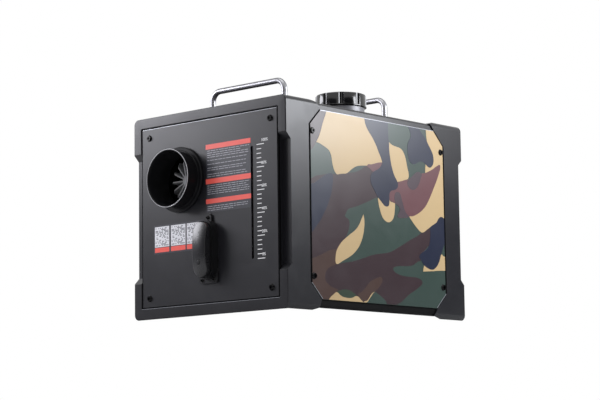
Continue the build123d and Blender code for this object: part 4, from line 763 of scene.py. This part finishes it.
def makeNumerals():
    numerals = []
    for index, words in enumerate(scale["numerals"]):
        z = scale["top"] - scale["pitch"] * scale["longEvery"] * index + scale["numeralRise"]
        numerals.append(addNumeral(words, scale["numeralLeft"], z))
    layDown("scale_numerals", numerals, inks["scaleWhite"])


makeLabel()
makePlates()
makeTicks()
makeNumerals()
print("stage: front panel prints")


# painted shadow in the gaps round the side and front panels, painted highlights on their edges, and a painted
# highlight on the outlet's rim
paintedShadeAndHighlights = {
    "sideGaps": {  # painted shadow bands in the side gaps; run, counted like the corners: start past the panel's edge, width
        3: (-1.1, 2.4),
        4: (-0.6, 1.6),
        6: (-0.6, 1.9),
        7: (-1.2, 2.6),
    },
    "sideGapDepth": 1.9,
    # painted highlight lines along three edges of each side panel
    "sideEdges": (0, 2, 5),
    "sideEdgeWidth": 0.6,
    "sideEdgeDepth": 0.1,
    "sideProud": 0.4,
    # black sheets that fill the front panel's groove as painted shadow
    "frontInner": (127.95, 16.35, 264.75),  # half width, foot, top of the panel's opening
    "frontWidth": 1.1,
    "frontBack": 1.56,  # its back, behind the panel's face
    "frontThick": 1.5,
    "frontLips": [  # painted shadow strips on the panel itself
        (126.0, 127.95, 16.4, 264.7),
        (-127.9, 127.9, 16.4, 17.1),
    ],
    "lipThick": 0.1,
    # painted highlight lines on the front panel's top edge and on the frame's lower lip
    "panelEdge": (-127.2, 126.0, 263.75, 264.3),
    "panelEdgeThick": 0.12,
    "frameEdge": (-128.6, 128.6, 14.7, 15.15),
    "frameEdgeThick": 0.06,
}
shadeGlintLooks = {
    # black painted shadow for the panel gaps, also the controller window's own dark colour
    "shadeAndWindowBlack": dict(colour=(3, 3, 4), second=(4, 4, 5), rough=0.8, shine=0.05),
    # painted highlights on panel and frame edges
    "edgeHighlight": dict(colour=(168, 170, 176), second=(158, 160, 166), rough=0.3, metal=0.4),
    # a painted highlight ring at the outlet's rim
    "rimHighlight": dict(colour=(205, 205, 210), second=(196, 196, 201), rough=0.25, smear=0.05, shine=0.7),
}
shadeGlintInks = {name: makeFinish(name, look) for name, look in shadeGlintLooks.items()}


def addBand(run, inset, width, depth, side):  # a straight band along one edge of a side panel
    corners = sidePrint["corners"]
    (y0, z0), (y1, z1) = corners[run], corners[(run + 1) % len(corners)]
    length = math.hypot(y1 - y0, z1 - z0)
    outY, outZ = (z1 - z0) / length, -(y1 - y0) / length  # outwards from the panel
    low, high = sideFace - depth, sideFace + paintedShadeAndHighlights["sideProud"]
    middle = inset + width / 2
    dropSelection()
    bpy.ops.mesh.primitive_cube_add(size=1)
    band = bpy.context.view_layer.objects.active
    band.scale = ((high - low) * mm, length * mm, width * mm)
    band.rotation_euler = (math.atan2(z1 - z0, y1 - y0), 0, 0)
    band.location = (
        signs[side] * (low + high) / 2 * mm,
        ((y0 + y1) / 2 + outY * middle + frontY) * mm,
        ((z0 + z1) / 2 + outZ * middle) * mm,
    )
    freezePlace(band)
    return band


def makeSideShadeAndHighlights(side):
    gaps = [
        addBand(run, start, width, paintedShadeAndHighlights["sideGapDepth"], side)
        for run, (start, width) in paintedShadeAndHighlights["sideGaps"].items()
    ]
    # painted shadow bands along the side panels' gaps
    layDown(f"gap_{side}", gaps, shadeGlintInks["shadeAndWindowBlack"])
    width, depth = paintedShadeAndHighlights["sideEdgeWidth"], paintedShadeAndHighlights["sideEdgeDepth"]
    # painted highlight bands along the side panel's edges
    edges = [addBand(run, -width, width, depth, side) for run in paintedShadeAndHighlights["sideEdges"]]
    layDown(f"edge_{side}", edges, shadeGlintInks["edgeHighlight"])


def makeFrontShadeAndHighlights():
    inner, foot, top = paintedShadeAndHighlights["frontInner"]
    width = paintedShadeAndHighlights["frontWidth"]
    outer = inner + width
    boxes = [
        (-outer, -inner, foot - width, top + width),
        (inner, outer, foot - width, top + width),
        (-inner, inner, foot - width, foot),
        (-inner, inner, top, top + width),
    ]
    strips = [addSheet(box, panelFace + paintedShadeAndHighlights["frontBack"], paintedShadeAndHighlights["frontThick"]) for box in boxes]
    strips += [addSheet(box, panelFace, paintedShadeAndHighlights["lipThick"]) for box in paintedShadeAndHighlights["frontLips"]]
    # painted shadow in the front panel's groove and on its right and lower edges
    layDown("gap_front", strips, shadeGlintInks["shadeAndWindowBlack"])
    # painted highlight lines on the front panel and frame edges
    edges = [
        addSheet(paintedShadeAndHighlights["panelEdge"], panelFace, paintedShadeAndHighlights["panelEdgeThick"]),
        addSheet(paintedShadeAndHighlights["frameEdge"], frontY, paintedShadeAndHighlights["frameEdgeThick"]),
    ]
    layDown("edge_front", edges, shadeGlintInks["edgeHighlight"])


rim = {
    "behindTip": 0.45,  # the painted highlight's middle, behind the duct's tip
    "radius": 39.35,
    "thick": 0.44,
    "around": 96,  # faces round the rim and round its section
    "across": 10,
}


# a raised bead whose bright colour is a painted highlight along the outlet's rim
def makeRim():
    x, z = ((reachOf("outlet_duct", axis, min) + reachOf("outlet_duct", axis, max)) / 2 for axis in (0, 2))
    y = reachOf("outlet_duct", 1, min) + rim["behindTip"]
    dropSelection()
    bpy.ops.mesh.primitive_torus_add(
        location=(x * mm, y * mm, z * mm), rotation=(math.pi / 2, 0, 0),
        major_radius=rim["radius"] * mm, minor_radius=rim["thick"] * mm,
        major_segments=rim["around"], minor_segments=rim["across"],
    )
    ring = bpy.context.view_layer.objects.active
    ring.name = "outlet_rim_glint"
    freezePlace(ring)
    bpy.ops.object.shade_smooth()
    settle(ring, "root", shadeGlintInks["rimHighlight"])


for side in ("right", "left"):
    makeSideShadeAndHighlights(side)
makeFrontShadeAndHighlights()
makeRim()
print("stage: seams and edges")


# small dark window on the hand controller's face
window = {
    "place": (2.7, 108.5),  # x and z
    "radius": 0.75,
    "depth": 0.6,
    "proud": 0.12,
    "edge": 0.08,
    "edgeSegments": 2,
    "sides": 32,
    "ahead": 10,  # where the search for the face starts, in front of it
}


def makeWindow():
    x, z = window["place"]
    ahead = Vector((x, reachOf("handset_face", 1, min) - window["ahead"], z)) * mm
    spot, normal = smoothPieces["handset_face"].ray_cast(ahead, Vector((0, 1, 0)))[1:3]
    dropSelection()
    bpy.ops.mesh.primitive_cylinder_add(
        vertices=window["sides"], radius=window["radius"] * mm, depth=window["depth"] * mm)
    dot = bpy.context.view_layer.objects.active
    dot.name = "controller_window"
    rise = (window["proud"] - window["depth"] / 2) * mm
    turn = normal.to_track_quat("Z", "Y").to_matrix().to_4x4()
    dot.matrix_world = Matrix.Translation(spot + normal * rise) @ turn
    freezePlace(dot)
    editAll(dot)
    bpy.ops.mesh.bevel(offset=window["edge"] * mm, segments=window["edgeSegments"])
    stopEdit()
    # the window's own dark colour shares the black made for painted shadow
    settle(dot, "handset", shadeGlintInks["shadeAndWindowBlack"])


makeWindow()


# camera at the photograph's angle
view = {
    "place": (1842.6, -2055.1, -198.0),
    "turn": 41.927,
    "lift": 7.619,
    "roll": -0.787,
    "lens": 118.3,
    "sensor": 36,
    "clip": (0.1, 50),
}


def makeCamera():
    cameraData = bpy.data.cameras.new("camera")
    cameraData.lens = view["lens"]
    cameraData.sensor_width = view["sensor"]
    cameraData.clip_start, cameraData.clip_end = view["clip"]
    camera = bpy.data.objects.new("camera", cameraData)
    scene.collection.objects.link(camera)
    turn = Matrix.Rotation(math.radians(view["turn"]), 4, "Z")
    lift = Matrix.Rotation(math.radians(90 + view["lift"]), 4, "X")
    roll = Matrix.Rotation(math.radians(view["roll"]), 4, "Z")
    camera.matrix_world = Matrix.Translation(Vector(view["place"]) * mm) @ (turn @ lift @ roll)
    scene.camera = camera


makeCamera()


# floor that the camera sees through from below
ground = {
    "size": 9,
    "drop": 0.0002,
    "colour": (232, 232, 232),
    "rough": 0.8,
    "shine": 0.1,
}


def makeFloor():
    finish = bpy.data.materials.new("paleFloor")
    finish.use_nodes = True
    tree = finish.node_tree
    shader = tree.nodes["Principled BSDF"]
    shader.inputs["Base Color"].default_value = paint(*ground["colour"])
    shader.inputs["Roughness"].default_value = ground["rough"]
    shader.inputs["Specular IOR Level"].default_value = ground["shine"]
    clear = tree.nodes.new("ShaderNodeBsdfTransparent")
    mix = tree.nodes.new("ShaderNodeMixShader")
    geometry = tree.nodes.new("ShaderNodeNewGeometry")
    path = tree.nodes.new("ShaderNodeLightPath")
    both = addMath(tree, "MULTIPLY")
    link = tree.links.new
    link(geometry.outputs["Backfacing"], both.inputs[0])
    link(path.outputs["Is Camera Ray"], both.inputs[1])
    link(both.outputs[0], mix.inputs[0])
    link(shader.outputs[0], mix.inputs[1])
    link(clear.outputs[0], mix.inputs[2])
    link(mix.outputs[0], tree.nodes["Material Output"].inputs["Surface"])
    dropSelection()
    bpy.ops.mesh.primitive_plane_add(size=ground["size"], location=(0, 0, -ground["drop"]))
    floor = bpy.context.view_layer.objects.active
    floor.name = "floor"
    freezePlace(floor)
    floor.data.materials.append(finish)


makeFloor()


# white surroundings, soft lamps and grey cards
lighting = {
    "surround": 0.42,
    "lamps": [  # name, place in m, aim, width, height, radiance, colour
        ("softboxFront", (-0.88, -0.657, 0.585), (-0.05, -0.18, 0.2), 0.62, 0.42, 9.4, (0.93, 0.93, 1)),
        ("softboxSide", (0.73, 0.36, 0.49), (0.14, -0.06, 0.22), 0.5, 0.28, 14, (0.93, 0.95, 1)),
        ("softboxTop", (0.1, -0.5, 1.7), (0, 0, 0.15), 1.1, 1.1, 1.6, (1, 1, 1)),
    ],
    "cards": [  # name, place in m, aim, width, height, level: only reflections show them
        ("cardFront", (-0.74, -0.76, 0.15), (-0.05, -0.18, 0.15), 1.3, 0.3, 0.3),
        ("cardSide", (0.7, 0.5, 0.15), (0.14, 0, 0.15), 1.3, 0.3, 0.08),
        ("cardNear", (-0.03, -1.05, 0.36), (0.05, 0, 0.36), 1.1, 0.72, 0.1),
        ("cardRight", (1.0, -0.27, 0.36), (0.05, 0, 0.36), 0.85, 0.72, 0.05),
    ],
    "cardBlue": 1.12,  # blue over the card's level
}


def makeWorld():  # full white for camera, mirror and glass rays, dimmer as a light
    world = bpy.data.worlds.new("studio")
    world.use_nodes = True
    scene.world = world
    tree = world.node_tree
    background = tree.nodes["Background"]
    background.inputs["Color"].default_value = (1, 1, 1, 1)
    path = tree.nodes.new("ShaderNodeLightPath")
    seen = addMath(tree, "MAXIMUM")
    seenToo = addMath(tree, "MAXIMUM")
    level = tree.nodes.new("ShaderNodeMapRange")
    level.inputs["To Min"].default_value = lighting["surround"]
    level.inputs["To Max"].default_value = 1
    link = tree.links.new
    link(path.outputs["Is Camera Ray"], seen.inputs[0])
    link(path.outputs["Is Glossy Ray"], seen.inputs[1])
    link(seen.outputs[0], seenToo.inputs[0])
    link(path.outputs["Is Transmission Ray"], seenToo.inputs[1])
    link(seenToo.outputs[0], level.inputs["Value"])
    link(level.outputs[0], background.inputs["Strength"])


def aimed(place, aim):  # the turn that points a lamp or a card from its place at its aim
    return (Vector(aim) - Vector(place)).to_track_quat("-Z", "Y").to_euler()


def addLamp(name, place, aim, width, height, radiance, colour):
    lampData = bpy.data.lights.new(name, "AREA")
    lampData.shape = "RECTANGLE"
    lampData.size, lampData.size_y = width, height
    lampData.energy = radiance * math.pi * width * height
    lampData.color = colour
    lamp = bpy.data.objects.new(name, lampData)
    lamp.location = place
    lamp.rotation_euler = aimed(place, aim)
    lamp.visible_camera = False
    scene.collection.objects.link(lamp)


# a glow that one kind of ray meets; with grazing given, only rays nearly level meet it
def rayFinish(name, colour, rayName, grazing=None):
    finish = bpy.data.materials.new(name)
    finish.use_nodes = True
    tree = finish.node_tree
    tree.nodes.remove(tree.nodes["Principled BSDF"])
    glow = tree.nodes.new("ShaderNodeEmission")
    glow.inputs["Color"].default_value = colour
    clear = tree.nodes.new("ShaderNodeBsdfTransparent")
    mix = tree.nodes.new("ShaderNodeMixShader")
    path = tree.nodes.new("ShaderNodeLightPath")
    link = tree.links.new
    shown = path.outputs[rayName]
    if grazing is not None:
        geometry = tree.nodes.new("ShaderNodeNewGeometry")
        parts = tree.nodes.new("ShaderNodeSeparateXYZ")
        steepness = addMath(tree, "ABSOLUTE")
        flat = addMath(tree, "LESS_THAN", grazing)
        both = addMath(tree, "MULTIPLY")
        link(geometry.outputs["Incoming"], parts.inputs[0])
        link(parts.outputs["Z"], steepness.inputs[0])
        link(steepness.outputs[0], flat.inputs[0])
        link(shown, both.inputs[0])
        link(flat.outputs[0], both.inputs[1])
        shown = both.outputs[0]
    link(shown, mix.inputs[0])
    link(clear.outputs[0], mix.inputs[1])
    link(glow.outputs[0], mix.inputs[2])
    link(mix.outputs[0], tree.nodes["Material Output"].inputs["Surface"])
    return finish


def addCard(name, place, aim, width, height, level):
    dropSelection()
    bpy.ops.mesh.primitive_plane_add(size=1, location=place)
    card = bpy.context.view_layer.objects.active
    card.name = name
    card.scale = (width, height, 1)
    card.rotation_euler = aimed(place, aim)
    freezePlace(card)
    colour = (level, level, level * lighting["cardBlue"], 1)
    card.data.materials.append(rayFinish(name, colour, "Is Glossy Ray"))
    card.visible_shadow = card.visible_diffuse = False


makeWorld()
for lamp in lighting["lamps"]:
    addLamp(*lamp)
for card in lighting["cards"]:
    addCard(*card)


# the pale ground right under the case, for the low camera only
underlay = {
    "strips": [  # half width, and the run of y from the case's front face and z, just under the case
        (143.35, [(0, -0.05), (50, -0.05), (62, 3.45)]),
        (143.35, [(303.1, 3.45), (315.1, -0.05), (374.1, -0.05)]),
        (141.35, [(62, 3.45), (303.1, 3.45)]),
    ],
    "grazing": 0.2,
}


def addStrip(halfWidth, profile):
    curve = bpy.data.curves.new("strip", "CURVE")
    curve.dimensions = "2D"
    curve.fill_mode = "NONE"
    curve.extrude = halfWidth * mm
    spline = curve.splines.new("POLY")
    spline.points.add(len(profile) - 1)
    for knot, (y, z) in zip(spline.points, profile):
        knot.co = ((y + frontY) * mm, z * mm, 0, 1)
    strip = bpy.data.objects.new("strip", curve)
    scene.collection.objects.link(strip)
    strip = asMesh(strip)
    strip.matrix_world = outwards["right"]
    freezePlace(strip)
    return strip


def makeUnderlay():
    strips = [addStrip(halfWidth, profile) for halfWidth, profile in underlay["strips"]]
    whole = joinPieces("underlay", strips)
    whole.data.materials.clear()
    whole.data.materials.append(rayFinish("underlay", (1, 1, 1, 1), "Is Camera Ray", underlay["grazing"]))
    whole.visible_shadow = whole.visible_diffuse = whole.visible_glossy = False


makeUnderlay()
scene.view_settings.view_transform = "Standard"
print("stage: camera, floor and light")
